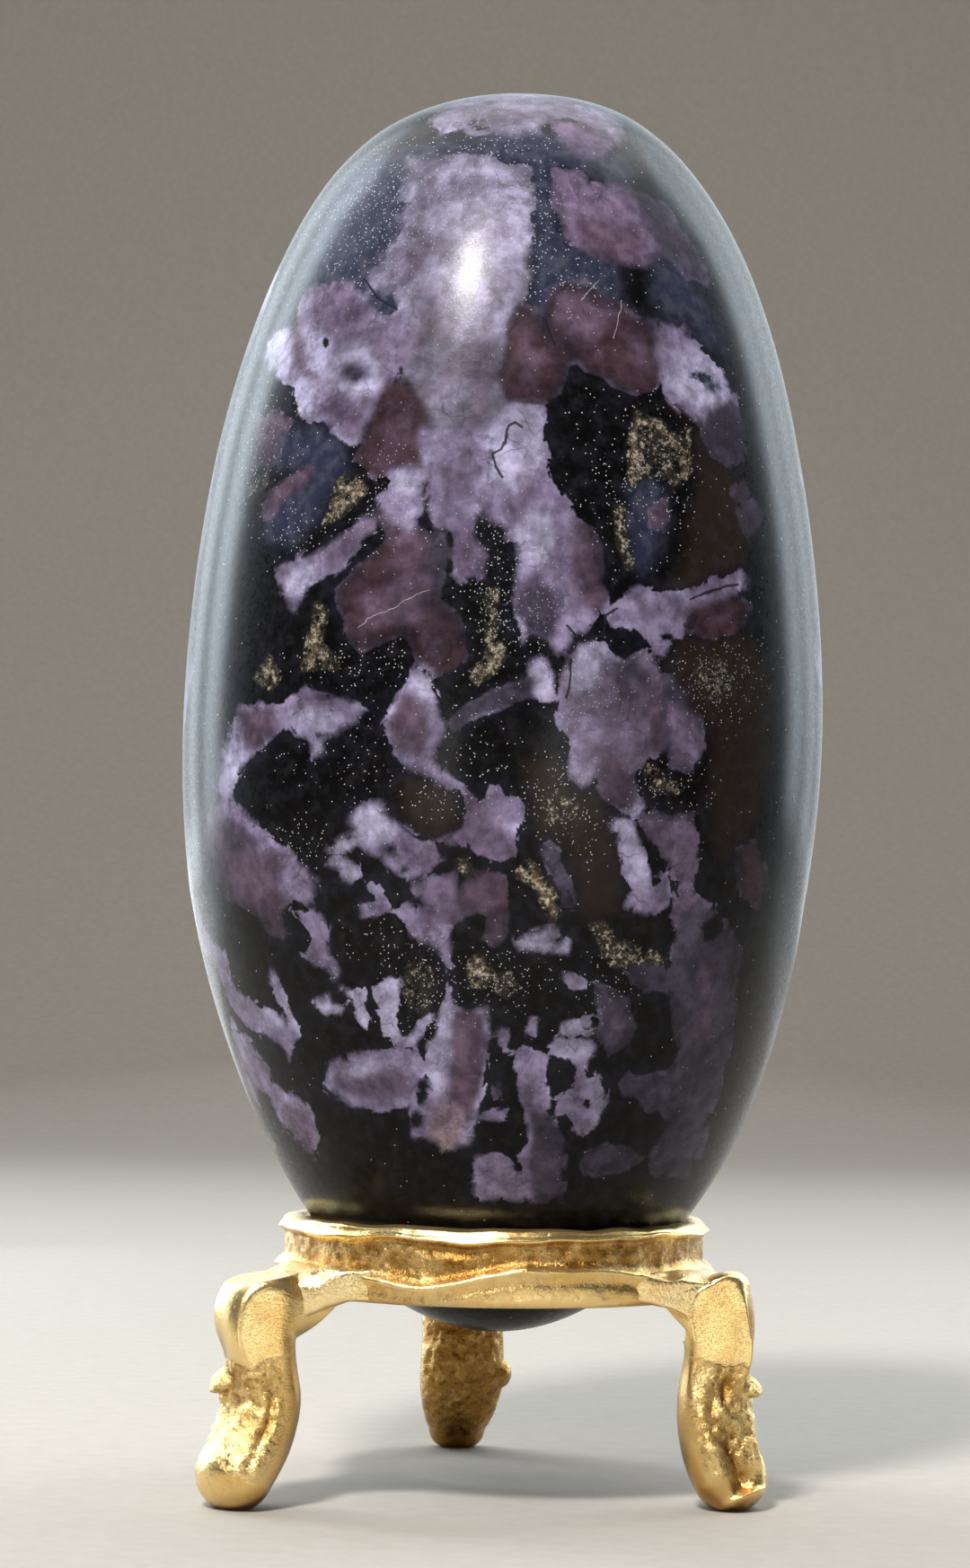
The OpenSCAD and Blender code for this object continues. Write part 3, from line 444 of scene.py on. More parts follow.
    ("brown", [(27.6, 74), (29.8, 74.8), (31.4, 71), (30.4, 67.4), (28.2, 68.2)]),
    ("dim", [(24.4, 66.6), (26.4, 66), (27.8, 62.4), (27.2, 58), (25.2, 55), (23.6, 57), (23.4, 61)]),
    ("dim", [(22.7, 49.6), (24.8, 49), (25.4, 46), (23.8, 42), (21.2, 38), (18.8, 36), (18.2, 37.6),
        (20.2, 41.6), (21.4, 45.6)]),
    ("black", [(23.4, 65.6), (25.5, 66.7), (26.4, 65.5), (25, 63.4), (23.9, 62.8)]),
    ("dim", [(16.5, 58.1), (18.5, 58.9), (19.2, 58), (17, 57.5)]),
]

# Round marks on the figure: mineral, middle across and up, half width, half height, turn in degrees
SPOTS = [
    ("black", -4.0, 159.3, 0.9, 0.5, 0), ("dim", -3.0, 130.5, 1.6, 2.4, 0),
    ("lilac", -22.6, 131.6, 1.0, 2.6, 20), ("lilac", -18.0, 129.6, 2.4, 2.6, 0),
    ("lilac", -27.2, 131.4, 1.2, 2.0, 0), ("lilac", -24.0, 126.4, 1.4, 1.8, 0),
    ("dim", -18.3, 129.4, 1.2, 0.8, -8), ("navy", -17.6, 129.2, 0.6, 0.5, 0),
    ("black", -21.7, 132.7, 0.2, 0.3, 0), ("black", -19.2, 136.0, 0.3, 0.25, 0),
    ("lilac", 22.6, 129.3, 3.2, 2.6, -20), ("navy", 21.6, 129.9, 0.9, 0.6, 0),
    ("navy", 22.9, 129.3, 0.9, 0.6, -20), ("navy", 24.0, 128.6, 0.8, 0.6, -20),
    ("dim", 28.6, 113.5, 0.9, 1.6, 0), ("dim", 27.4, 116.2, 0.8, 0.8, 0),
    ("lilac", -11.5, 116.6, 1.2, 1.1, 0), ("lilac", -24.0, 104.6, 1.6, 1.2, 30),
    ("lilac", 3.6, 110.6, 2.0, 2.8, 0), ("lilac", 0.4, 119.6, 0.9, 1.4, 0),
    ("lilac", -9.4, 92.6, 0.8, 1.2, 0), ("black", 19.3, 98.9, 0.7, 0.45, -20),
    ("black", -30.9, 87.6, 0.4, 1.2, 0), ("lilac", -31.6, 83.0, 0.9, 2.6, 0),
    ("lilac", -21.6, 88.6, 1.8, 0.8, 0), ("black", -12.8, 73.2, 0.7, 0.55, 0),
    ("black", -11.2, 71.0, 0.45, 0.45, 0), ("black", -8.8, 45.0, 0.7, 1.2, 0),
    ("black", -9.2, 42.0, 0.7, 0.9, 0), ("black", 10.5, 44.0, 0.45, 0.5, 0),
    ("dim", 0.3, 46.0, 0.5, 1.1, 0), ("dim", -7.8, 107.8, 0.5, 1.8, 0), ("black", 6.8, 63.0, 0.5, 0.7, 0),
    # the spot at (-5.7, 40.8) is a painted warm reflection
    ("lilac", -26.4, 53.4, 1.2, 0.8, -30), ("rose", -5.7, 40.8, 1.5, 2.4, 0),
    ("lilac", -15.6, 47.6, 1.6, 0.6, 10),
]

# Brassy seams in the dark ground: strength and outline
SEAMS = [
    (0.55, [(15.4, 123.6), (17.5, 123.4), (19.6, 121.5), (20.3, 119), (18.5, 117.6), (15, 117.6),
        (14.6, 121)]),
    (1.0, [(15.1, 125.2), (16, 124.8), (15.4, 121.4), (15.8, 117.4), (14.7, 116.8), (14.1, 121)]),
    (1.0, [(15.4, 125), (18, 124.3), (20.2, 122), (21.6, 118.6), (19.8, 116.2), (19.2, 117.3),
        (20.5, 118.8), (19.4, 121.1), (17.6, 123.1), (15.6, 123.8)]),
    (0.8, [(20.7, 123.8), (21.3, 123.6), (21.5, 119.6), (20.9, 119.6)]),
    (0.7, [(12.8, 114.4), (13.8, 114.2), (14.1, 110), (15.2, 107), (14.3, 106.6), (12.9, 110)]),
    (1.0, [(-20, 116.6), (-17.5, 117.2), (-16.4, 115.5), (-18, 113.9), (-19, 112.9), (-21.6, 111.3),
        (-20.1, 114.5)]),
    (0.6, [(-30.2, 115.6), (-27.9, 117.8), (-28.4, 116), (-30.2, 114.4)]),
    (1.0, [(-3.9, 94.2), (-2.1, 96), (-1.9, 98.6), (-0.5, 98.2), (0.3, 96.5), (-1, 94.4), (-3, 92.9)]),
    (0.6, [(-2.2, 104), (-0.8, 104.4), (-0.4, 100), (-1, 98), (-2, 98.6)]),
    (0.9, [(-22.1, 102.2), (-20.9, 101.6), (-21.4, 97.5), (-19.9, 95.8), (-19.4, 94.6), (-23.6, 94.2),
        (-23.1, 97), (-22.6, 99.5)]),
    (0.9, [(-29.1, 93), (-27.5, 95.9), (-26.2, 93.5), (-27.3, 91.7)]),
    (0.8, [(16.7, 83.7), (18, 83.6), (19, 82.1), (21.1, 81.1), (20, 80.2), (18, 80.9), (16.9, 82)]),
    (0.5, [(22.4, 96.4), (26, 96), (27, 93), (24.6, 91.4), (22.6, 93)]),
    (0.8, [(-5.5, 72), (-4, 72), (-3.1, 70.6), (-4.3, 70.4)]),
    (1.0, [(1.9, 71), (3.5, 72.4), (4.6, 71.1), (5.6, 69.5), (6.4, 68), (7.1, 66), (6.2, 65.2),
        (5.2, 67.5), (4, 69.6), (2.4, 70.2)]),
    (0.7, [(10.4, 65), (12, 65.5), (13.1, 64), (15, 62.9), (18, 61.9), (19.6, 61), (17, 60.2), (13, 60.2),
        (12.2, 61.5), (11.8, 63)]),
    (0.8, [(-4, 60.4), (-2, 61.2), (-0.6, 59.6), (-1.4, 57.6), (-3.4, 57.6)]),
    (0.6, [(-0.4, 59), (1.4, 59.4), (2.4, 57.6), (1, 56.2), (-0.6, 57)]),
    (0.35, [(-11, 60), (-8.6, 60.6), (-6.8, 57), (-8, 53.6), (-10.6, 54.6), (-11.6, 57)]),
    (0.4, [(4.4, 80), (7, 81), (9.4, 79), (8, 76.4), (5, 76.6)]),
]

# Where pale grains are scattered in the ground, partly real specks and partly painted glints, the crowd at
# (-4, 150) painting the sparkle round the key's highlight: middle across and up, half width, half height,
# strength
GRAIN_CROWDS = [
    (-16, 148, 6, 6, 0.9), (-4, 150, 8, 9, 0.6), (2.5, 148, 3, 8, 0.8), (-1, 104, 3, 9, 1.0),
    (3.5, 101, 3, 6, 0.8), (24.5, 94, 5, 4, 0.9), (-8.5, 57, 4, 5, 0.7), (0, 58.5, 4.5, 3, 0.9),
    (7.5, 79, 4, 5, 0.7), (-15, 95, 5, 2.5, 0.7), (-24, 110, 4, 3, 0.5), (-23, 73.5, 3, 3, 0.6),
    (19, 81, 4, 3, 0.6), (16, 118, 6, 8, 0.5), (9, 140, 5, 3, 0.6), (-12, 62, 5, 3, 0.4),
    (-14, 115, 4, 6, 0.5), (10, 93, 4, 5, 0.5), (-7, 80, 4, 3, 0.5), (12, 59, 4, 4, 0.3),
    (-28, 121, 3, 5, 0.5), (-18, 84, 6, 4, 0.3), (-2, 85, 5, 4, 0.25),
]

# Dark cracks and pale scores, across and up
CRACKS = [
    [(0.1, 123.4), (0.9, 123.9), (1.7, 123.3)],
    [(0.1, 123.4), (-0.3, 121.5), (-1.7, 120), (-1.2, 118.4), (-0.6, 117.4)],
    [(7.4, 99.9), (8.5, 98.7), (10, 98.4), (11.6, 98.8), (11.9, 101.2), (13, 102.2)],
    [(7.8, 96), (7.5, 91.4)], [(19.8, 70.6), (20.8, 68.4)],
    [(-17.2, 140.6), (-15.6, 138.4), (-13.2, 137)], [(3.9, 136.4), (5.4, 133.2)],
    [(-28.2, 128.6), (-26.4, 127.6), (-25.6, 125.2)], [(21.8, 103.3), (24.2, 104.2), (27.2, 105.2)],
]
SCORES = [
    [(-17.4, 99.5), (-9, 103.9)], [(8.4, 138.6), (10.4, 141)], [(12.4, 134), (13.2, 138.6)],
]

# How far the stone's middle strays to the right of the axis, by height
LEAN_HEIGHTS = [17, 33, 38, 48, 57, 68, 75, 88, 100, 120, 131, 142, 152, 157, 160, 163]
LEAN_RIGHT = [0.2, 0.4, 0.5, 0.3, 0.0, -0.3, -0.2, 0.0, 0.1, 0.15, 0.35, 0.5, 0.45, 0.6, 1.1, 1.3]

# The stone's grid, the samples along its outline, and how strongly the columns crowd to the front
STONE_ROWS, STONE_COLUMNS = 318, 312
OUTLINE_SAMPLES = 6000
FRONT_CROWDING = 0.5

# Depths over which a patch or a seam fades in, the margin round a patch, the reach of a spot, the depth of
# plain ground, and the share of a column's facing over which the front gives way to the back
LIGHT_EDGE, DARK_EDGE, SEAM_EDGE = (-1.2, 0.3), (-1.6, 1.4), (-0.7, 0.5)
PATCH_MARGIN, SPOT_REACH, GROUND_DEPTH = 3.0, 6.0, -3.0
FRONT_FADE = (0.18, 0.42)

# How far noise shifts the figure, and the size of that noise
FRONT_STRAY, FRONT_STRAY_SIZE = 0.30, 2.2
BACK_STRAY, BACK_STRAY_SIZE = 0.9, 3.4

# The net of patches on the back: lowest and highest level, steps up and across, jitter, half span in
# radians, and how often each mineral comes
BACK_LOW, BACK_HIGH, BACK_STEP_UP = 22.0, 160.0, 8.5
BACK_STEP, BACK_JITTER, BACK_SPAN = 9.5, 4.0, 2.2
BACK_ODDS = {
    "lavender": 0.28, "lilac": 0.07, "mauve": 0.13, "plum": 0.13, "brown": 0.07, "dim": 0.08, "navy": 0.07,
    "black": 0.11, "umber": 0.06,
}


def stone_points(rows, columns):
    """The stone turned about its axis: radius R (1 - (h / H)^taper)^(1 / bluntness), with h counted from
    the girth. The rings are evenly spaced along that outline, and the columns crowd towards the viewer.
    Each ring is moved sideways by the stone's own lean. Gives the points and the columns' angles."""
    middle, half = (STONE_HIGH[2] + STONE_LOW[2]) / 2, (STONE_HIGH[2] - STONE_LOW[2]) / 2
    h = middle - half * np.cos(np.linspace(0, np.pi, OUTLINE_SAMPLES)) - GIRTH_Z
    above = np.clip(1 - (np.abs(h) / STONE_TOP_H) ** TOP_TAPER, 0, 1) ** (1 / TOP_BLUNTNESS)
    below = np.clip(1 - (np.abs(h) / STONE_BOTTOM_H) ** BOTTOM_TAPER, 0, 1) ** (1 / BOTTOM_BLUNTNESS)
    r = STONE_R * np.where(h > 0, above, below)
    way = np.concatenate([[0], np.cumsum(np.hypot(np.diff(r), np.diff(h)))])
    even = np.linspace(0, way[-1], rows + 1)[:-1] + way[-1] / rows / 2
    r, z = np.interp(even, way, r), np.interp(even, way, h) + GIRTH_Z
    turn = np.linspace(0, 2 * np.pi, columns, endpoint=False)
    around = turn - FRONT_CROWDING * np.sin(turn)
    lean = np.interp(z, LEAN_HEIGHTS, LEAN_RIGHT)
    x = r[:, None] * np.sin(around) + lean[:, None]
    y = -r[:, None] * np.cos(around)
    return np.stack([x, y, np.broadcast_to(z[:, None], x.shape)], axis=-1), around


def outline_depth(across, up, outline):
    """Signed distance to a closed outline, positive inside. The distance is the least over the sides, and a
    point is inside where the sides cross its level an odd number of times to one side."""
    corners = np.array(outline, float)
    nearest = np.full(across.shape, np.inf)
    inside = np.zeros(across.shape, bool)
    for (ax, ay), (bx, by) in zip(corners, np.roll(corners, -1, axis=0)):
        ex, ey = bx - ax, by - ay
        t = np.clip(((across - ax) * ex + (up - ay) * ey) / (ex * ex + ey * ey), 0, 1)
        nearest = np.minimum(nearest, np.hypot(across - ax - t * ex, up - ay - t * ey))
        if ey:
            inside ^= ((ay > up) != (by > up)) & (across < ax + (up - ay) * ex / ey)
    return np.where(inside, nearest, -nearest)


def spot_depth(across, up, u, v, half_w, half_h, turn):
    """Depth in a turned ellipse: its smaller half size times one less the distance in half sizes."""
    a = math.radians(turn)
    du, dv = across - u, up - v
    along = (du * math.cos(a) + dv * math.sin(a)) / half_w
    aside = (dv * math.cos(a) - du * math.sin(a)) / half_h
    return min(half_w, half_h) * (1 - np.hypot(along, aside))


def lay(fields, near, depth, mineral):
    """Lay one patch into the fields. A light mineral raises the feldspar depth to its own, and a dark one
    lowers it to its own negative. Either tints its side of the figure by a smooth step across its edge,
    which is softer for the dark ones."""
    colour, side = MINERALS[mineral]
    light = side > 0
    merge = np.maximum if light else np.minimum
    fields["feldspar"][near] = merge(fields["feldspar"][near], side * depth)
    tint = fields["light" if light else "dark"]
    share = smooth(depth, *(LIGHT_EDGE if light else DARK_EDGE))[:, None]
    tint[near] += share * (np.array(colour) - tint[near])


def within(across, up, outline):
    """Points in the box round an outline, with a margin for its soft edge."""
    low, high = np.min(outline, axis=0) - PATCH_MARGIN, np.max(outline, axis=0) + PATCH_MARGIN
    return (across > low[0]) & (across < high[0]) & (up > low[1]) & (up < high[1])


def blank(shape):
    """Fields of a stone with no figure: all dark ground."""
    return {
        "feldspar": np.full(shape, GROUND_DEPTH),
        "light": np.broadcast_to(np.array(MINERALS["lavender"][0]), shape + (3,)).copy(),
        "dark": np.broadcast_to(np.array(MINERALS["black"][0]), shape + (3,)).copy(),
        "brass": np.zeros(shape),
        "grains_and_glints": np.zeros(shape),
    }


def front_figure(points):
    """Fields of the drawn patches. Each point is carried onto the plane through the axis along the line to
    the viewer's eye, and shifted a little by noise so that the patches get broken edges."""
    stray = np.stack([cloud(points, FRONT_STRAY_SIZE, seed) for seed in (21, 22)]) * FRONT_STRAY
    reach = EYE_DISTANCE / (EYE_DISTANCE + points[..., 1])
    across = points[..., 0] * reach + stray[0]
    up = EYE_HEIGHT + (points[..., 2] - EYE_HEIGHT) * reach + stray[1]
    fields = blank(across.shape)
    seen = points[..., 1] < 0
    for mineral, outline in PATCHES:
        near = seen & within(across, up, outline)
        lay(fields, near, outline_depth(across[near], up[near], outline), mineral)
    for mineral, *spot in SPOTS:
        near = seen & (np.hypot(across - spot[0], up - spot[1]) < SPOT_REACH)
        lay(fields, near, spot_depth(across[near], up[near], *spot), mineral)
    for strength, outline in SEAMS:
        near = seen & within(across, up, outline)
        depth = outline_depth(across[near], up[near], outline)
        fields["brass"][near] = np.maximum(fields["brass"][near], strength * smooth(depth, *SEAM_EDGE))
    for u, v, half_w, half_h, strength in GRAIN_CROWDS:
        crowd = strength * bump(across, u, half_w) * bump(up, v, half_h)
        fields["grains_and_glints"] = np.maximum(fields["grains_and_glints"], np.where(seen, crowd, 0))
    return fields


def back_figure(points, around):
    """Fields of the unseen side: seeded patches of the same kinds, each a lobed outline about a point of a
    jittered net, laid in arc length round the axis and height."""
    draw = np.random.default_rng(11)
    z = points[..., 2]
    half_turn = (around - np.pi) * np.ones_like(z)
    girth = np.hypot(points[..., 0], points[..., 1])
    stray = np.stack([cloud(points, BACK_STRAY_SIZE, seed) for seed in (31, 32)]) * BACK_STRAY
    up = z + stray[1]
    fields = blank(z.shape)
    kinds, odds = list(BACK_ODDS), list(BACK_ODDS.values())
    for level in np.arange(BACK_LOW, BACK_HIGH, BACK_STEP_UP):
        ring = max(girth[np.argmin(np.abs(z[:, 0] - level)), 0], 6)
        across = half_turn * ring + stray[0]
        for middle in np.arange(-BACK_SPAN * ring, BACK_SPAN * ring, BACK_STEP):
            u = middle + draw.uniform(-BACK_JITTER, BACK_JITTER)
            v = level + draw.uniform(-BACK_JITTER, BACK_JITTER)
            lobes = draw.integers(6, 10)
            spoke = np.linspace(0, 2 * np.pi, lobes, endpoint=False) + draw.uniform(-0.25, 0.25, lobes)
            reach = draw.uniform(2.6, 7.6) * draw.uniform(0.5, 1.25, lobes)
            squeeze, turn = draw.uniform(0.35, 1), draw.uniform(0, np.pi)
            p, q = reach * np.cos(spoke), reach * np.sin(spoke) * squeeze
            cos, sin = math.cos(turn), math.sin(turn)
            outline = np.stack([u + p * cos - q * sin, v + p * sin + q * cos], axis=-1)
            near = within(across, up, outline)
            mineral = str(draw.choice(kinds, p=odds))
            lay(fields, near, outline_depth(across[near], up[near], outline), mineral)
    fields["brass"] = 0.9 * smooth(cloud(points, 9.0, 35) + 0.6 * cloud(points, 3.6, 36), 0.75, 1.05)
    fields["grains_and_glints"] = 0.8 * smooth(cloud(points, 11.0, 37), 0.1, 0.6)
    return fields


def make_stone(finish):
    """Stone with its figure. The drawn front gives way to the seeded back where the surface turns away."""
    points, around = stone_points(STONE_ROWS, STONE_COLUMNS)
    front, back = front_figure(points), back_figure(points, around)
    facing = smooth(np.cos(around), *FRONT_FADE) * np.ones(points.shape[:2])
    piece = skin("polished_stone", points)
    for name, value in front.items():
        share = facing[..., None] if value.ndim == 3 else facing
        mark(piece, name, back[name] + share * (value - back[name]))
    place(piece, "stone", "stone", finish)


# Stand

# Heights along the ring, by the angle from the viewer's side in degrees
BAND_ANGLES = [-180, -120, -70, -53, -31, -19, -7, 8, 24, 43, 60, 110, 180]
BAND_TOPS = [25.4, 25.2, 25.8, 25.4, 24.9, 24.5, 25.2, 26.7, 26.5, 25.8, 26.0, 25.4, 25.4]
LIP_ANGLES = [-180, -100, -60, -40, -25, -8, 10, 25, 50, 100, 180]
LIP_FEET = [29.3, 29.6, 29.4, 29.3, 29.7, 29.3, 29.4, 29.9, 29.9, 29.5, 29.3]

# Lumps in the ring's cove: angle, height, half width in degrees, half height, how proud
COVE_LUMPS = [(-11, 27.6, 4.0, 0.5, 0.40), (-24, 26.6, 7.0, 0.7, -0.25), (30, 28.2, 9.0, 0.8, 0.15),
              (-46, 27.4, 8.0, 0.9, 0.18)]


def make_ring(finish):
    """Ring turned about the Z axis. Its section is a closed line: up the outer wall, over a half round top,
    down the bore and out along the foot. The outer wall's radius is the cove's, plus a rolled lip above one
    wavy edge, plus a band below another with a rounded ridge along it, plus lumps and casting noise."""
    columns, wall_rows, arch_rows, bore_rows, foot_rows = 720, 60, 18, 14, 8
    lip_r, brim_inset, edge = 0.55, 0.55, 0.3
    angle = np.linspace(-180, 180, columns, endpoint=False)
    turn = np.radians(angle)
    bore_r, brim_r = RING_R - RING_WALL, RING_R - brim_inset
    climb = np.linspace(RING_BASE + 0.25, RING_TOP - lip_r, wall_rows)
    arch = np.radians(np.linspace(0, 180, arch_rows + 2)[1:-1])
    half = (brim_r - bore_r) / 2
    drop = np.linspace(RING_TOP - lip_r, RING_BASE + edge, bore_rows)
    foot = np.linspace(bore_r + edge, RING_R - 0.5, foot_rows)
    r = np.concatenate([
        np.full(wall_rows, COVE_R), bore_r + half + half * np.cos(arch), np.full(bore_rows, bore_r), foot
    ])
    z = np.concatenate([
        climb, RING_TOP - lip_r + lip_r * np.sin(arch), drop, np.full(foot_rows, RING_BASE)
    ])
    row = np.arange(len(r))[:, None]
    climbing, outside = row < wall_rows, row < wall_rows + arch_rows // 2
    r, z = np.broadcast_arrays(r[:, None], z[:, None] * np.ones(columns))
    lip_foot = np.interp(angle, LIP_ANGLES, LIP_FEET) + 0.14 * np.sin(9 * turn)
    lip_foot = lip_foot + 0.08 * np.sin(23 * turn + 1)
    band_top = np.interp(angle, BAND_ANGLES, BAND_TOPS) + 0.15 * np.sin(11 * turn + 2)
    plain = np.stack([r * np.sin(turn), -r * np.cos(turn), z], axis=-1)
    lip = smooth(z, lip_foot - 0.5, lip_foot + 0.4)
    band = 1 - smooth(z, band_top - 0.1, band_top + 1.1)
    cove = (1 - np.maximum(lip, band)) * climbing
    rolled = smooth(z, lip_foot + 0.1, RING_TOP - lip_r + 0.1)
    lean = (RING_R - COVE_R + 0.12) * lip - (RING_R - brim_r + 0.12) * rolled
    proud = np.maximum(lean, (RING_R - COVE_R) * band)
    ridge = 0.34 * bump(z, band_top + 0.05, 0.55) - 0.16 * bump(z, band_top - 1.3, 0.5)
    ridge = ridge - 0.3 * bump(z, RING_BASE, 0.5)
    for at, level, half_a, half_z, height in COVE_LUMPS:
        ridge = ridge + height * bump(angle, at, half_a) * bump(z, level, half_z)
    grain = 0.07 * cloud(plain, 0.7, 51) + 0.08 * cloud(plain, 1.5, 52)
    wave = 0.12 * cloud(plain, 5.0, 53)
    relief = np.where(climbing, proud + ridge, 0)
    rough = np.where(outside, wave + grain * (0.35 + cove + 0.5 * band), 0.3 * grain)
    lift = 0.20 * cloud(plain, 3.4, 54) * smooth(z, RING_TOP - 1, RING_TOP)
    r = r + (relief + rough)
    points = np.stack([r * np.sin(turn), -r * np.cos(turn), z + lift], axis=-1)
    piece = skin("seat_ring_cast", points, wrapped=True)
    # Painted shade: the cove and the groove under the band are tinted amber for shade and warm reflection;
    # under also deepens the pitting
    under = bump(z, band_top - 1.4, 0.9) * climbing
    mark(piece, "hollow", np.clip(0.85 * cove + 0.35 * under - 5.0 * grain * cove, 0, 1))
    mark(piece, "pitting", np.clip(0.10 + 0.55 * cove + 0.40 * under, 0, 1))
    place(piece, "stand", "seat_ring", finish)


def underside(points):
    """How far a grid of points faces down, 0 to 1, from the upright part of the cross product of its two
    ways."""
    along = np.gradient(points, axis=0)
    around = np.roll(points, -1, axis=1) - np.roll(points, 1, axis=1)
    normal = np.cross(along, around)
    normal = normal / np.maximum(np.linalg.norm(normal, axis=-1, keepdims=True), 1e-9)
    middle = points.mean(axis=1, keepdims=True)
    outward = np.sign(np.sum(normal * (points - middle), axis=-1))
    return smooth(-normal[..., 2] * outward, 0.1, 0.9)


def leg_path(splay, steps):
    """Middle line of a leg in its own plane, x outwards and z up: the cubic Hermite curve through root,
    knee, shin and toe, with tangents as long as each chord, then a straight run through the toe's round
    end. Gives the station number, x, z, the direction, and the half width and half thickness."""
    shin_z = (KNEE_Z + TOE_Z) / 2
    stations = np.array([
        [RING_R - 1.0, ROOT_Z, 0, LEG_W, ROOT_T],
        [RING_R + splay * KNEE_OUT, KNEE_Z, KNEE_HEADING, LEG_W, KNEE_T],
        [RING_R + splay * SHIN_OUT, shin_z, SHIN_HEADING, LEG_W, SHIN_T],
        [RING_R + splay * TOE_OUT, TOE_Z, -TOE_SLOPE, LEG_W, TOE_T],
    ])
    f = np.linspace(0, 1, steps, endpoint=False)[:, None]
    e = f * f * (3 - 2 * f)
    runs = []
    for number, (p, q) in enumerate(zip(stations[:-1], stations[1:])):
        chord = np.hypot(*(q - p)[:2])
        a, b = np.radians(p[2]), np.radians(q[2])
        ta, tb = chord * np.array([np.cos(a), np.sin(a)]), chord * np.array([np.cos(b), np.sin(b)])
        line = (1 - e) * p[:2] + (f ** 3 - 2 * f ** 2 + f) * ta + e * q[:2] + (f ** 3 - f ** 2) * tb
        way = 6 * (f - f * f) * (q[:2] - p[:2]) + (3 * f ** 2 - 4 * f + 1) * ta + (3 * f ** 2 - 2 * f) * tb
        way = way / np.linalg.norm(way, axis=1, keepdims=True)
        runs.append(np.hstack([number + f, line, way, (p[3:] + e * (q[3:] - p[3:])) / 2]))
    a = np.linspace(0, np.pi / 2, steps // 2, endpoint=False)[:, None]
    toe, slope = stations[-1], np.radians(-TOE_SLOPE)
    way = np.array([np.cos(slope), np.sin(slope)])
    runs.append(np.hstack([
        3 + np.sin(a), toe[:2] + TOE_T / 2 * np.sin(a) * way, np.broadcast_to(way, (len(a), 2)),
        np.cos(a) * toe[3:] / 2
    ]))
    return np.vstack(runs)


# Lumps and dents on the legs: (station, angle round the leg, half length in stations, half angle, height).
# The angle is 0 on the outer face and grows towards the leg's left side as it leaves the ring.
COMMON_LUMPS = [
    (0.86, 0, 0.20, 55, 0.8),                                 # full corner of the knee
    (2.1, 100, 1.0, 20, 0.30), (2.1, -100, 1.0, 20, 0.30),    # smooth side rails
    (2.1, 66, 0.75, 7, -0.55), (2.1, -66, 0.75, 7, -0.55),    # grooves beside the rails
]
LEFT_LUMPS = [
    (1.42, -36, 0.28, 50, -1.5),                              # outer edge falling in below the knee
    (1.95, -26, 0.20, 10, 0.7),                               # fin under the spur
    (2.25, 26, 0.25, 8, 0.35), (2.45, -8, 0.3, 12, -0.3), (2.0, 10, 0.12, 14, -0.4),
    (3.1, 30, 0.5, 60, 0.4),
]
RIGHT_LUMPS = [
    (0.80, 0, 0.15, 30, 0.5), (1.12, 12, 0.14, 26, -0.9),     # knob at the top and the dent under it
    (1.40, -12, 0.30, 14, 0.5),                               # strut of the knee
    (1.70, -46, 0.24, 15, -1.7), (1.20, -38, 0.12, 12, -0.5),  # recess beside the strut
    (1.9, -88, 0.6, 16, 0.4), (1.9, -62, 0.5, 8, -0.5),       # broad rail and its groove
    (2.6, -38, 0.55, 20, -1.2), (2.6, -66, 0.6, 8, 0.5), (2.6, 4, 0.6, 9, 0.7),    # channel and its flanges
    (3.25, -34, 0.30, 26, -1.5), (3.72, -40, 0.12, 60, 0.7),  # hollow of the foot and its lip
    (1.35, 32, 0.40, 45, -2.0), (3.4, -61, 0.5, 60, -0.9),
]
BACK_LUMPS = [
    (2.1, 150, 0.3, 22, 0.5), (2.4, 205, 0.3, 20, -0.6),
    (1.8, 178, 0.3, 12, -0.4), (2.9, 180, 0.3, 14, -0.5),
    (3.2, 180, 0.5, 400, -1.3),                               # narrow foot
]

# Round knobs on the legs: (station, angle, half length in stations, half angle, height)
LEFT_KNOBS = [(1.72, -26, 0.15, 24, 1.5)]
RIGHT_KNOBS = [(1.76, 20, 0.14, 22, 1.5), (0.72, 8, 0.20, 40, 0.5)]
BACK_KNOBS = [(2.25, -98, 0.17, 26, 1.0)]

# The flat sheet of a leg: how far beside the leg it crosses the ring's edge, how far inside that edge, its
# lean, the height where the lean starts and how far up it goes on, and how early its cut begins
SHEET_ASIDE, SHEET_INSET, SHEET_LEAN = 8.0, 0.6, 0.07
SHEET_LEAN_START, SHEET_LEAN_REACH, SHEET_EASE = 18, 9, 0.5

# Top of the legs' arms where they leave the ring
ARM_TOP = RING_BASE + 3.7


def sheet_press(x, y, z, facing, spare):
    """How far points go beyond a leg's sheet, the flat face that runs from the ring over the knee. The
    sheet looks to the facing angle and leans back a little. The cut is eased: it starts early, as a square
    law. Gives the push along x and along y."""
    look_x, look_y = math.cos(math.radians(facing)), math.sin(math.radians(facing))
    reach = (RING_R - SHEET_INSET) * look_x + SHEET_ASIDE * abs(look_y) + spare
    lean = SHEET_LEAN * np.clip(z - SHEET_LEAN_START, 0, SHEET_LEAN_REACH)
    beyond = x * look_x + y * look_y - reach + lean
    early = np.clip(beyond + SHEET_EASE, 0, None) ** 2 / (4 * SHEET_EASE)
    eased = np.where(beyond > SHEET_EASE, beyond, early)
    return eased * look_x, eased * look_y


def apart(degrees, toward):
    """Angle from one direction to another, between -180 and 180 degrees."""
    return (degrees - toward + 180) % 360 - 180


def swing(x, y, z, angle):
    """Points of a leg's own plane, turned about the Z axis to its angle."""
    a = math.radians(angle)
    return np.stack([x * math.cos(a) - y * math.sin(a), x * math.sin(a) + y * math.cos(a), z], axis=-1)


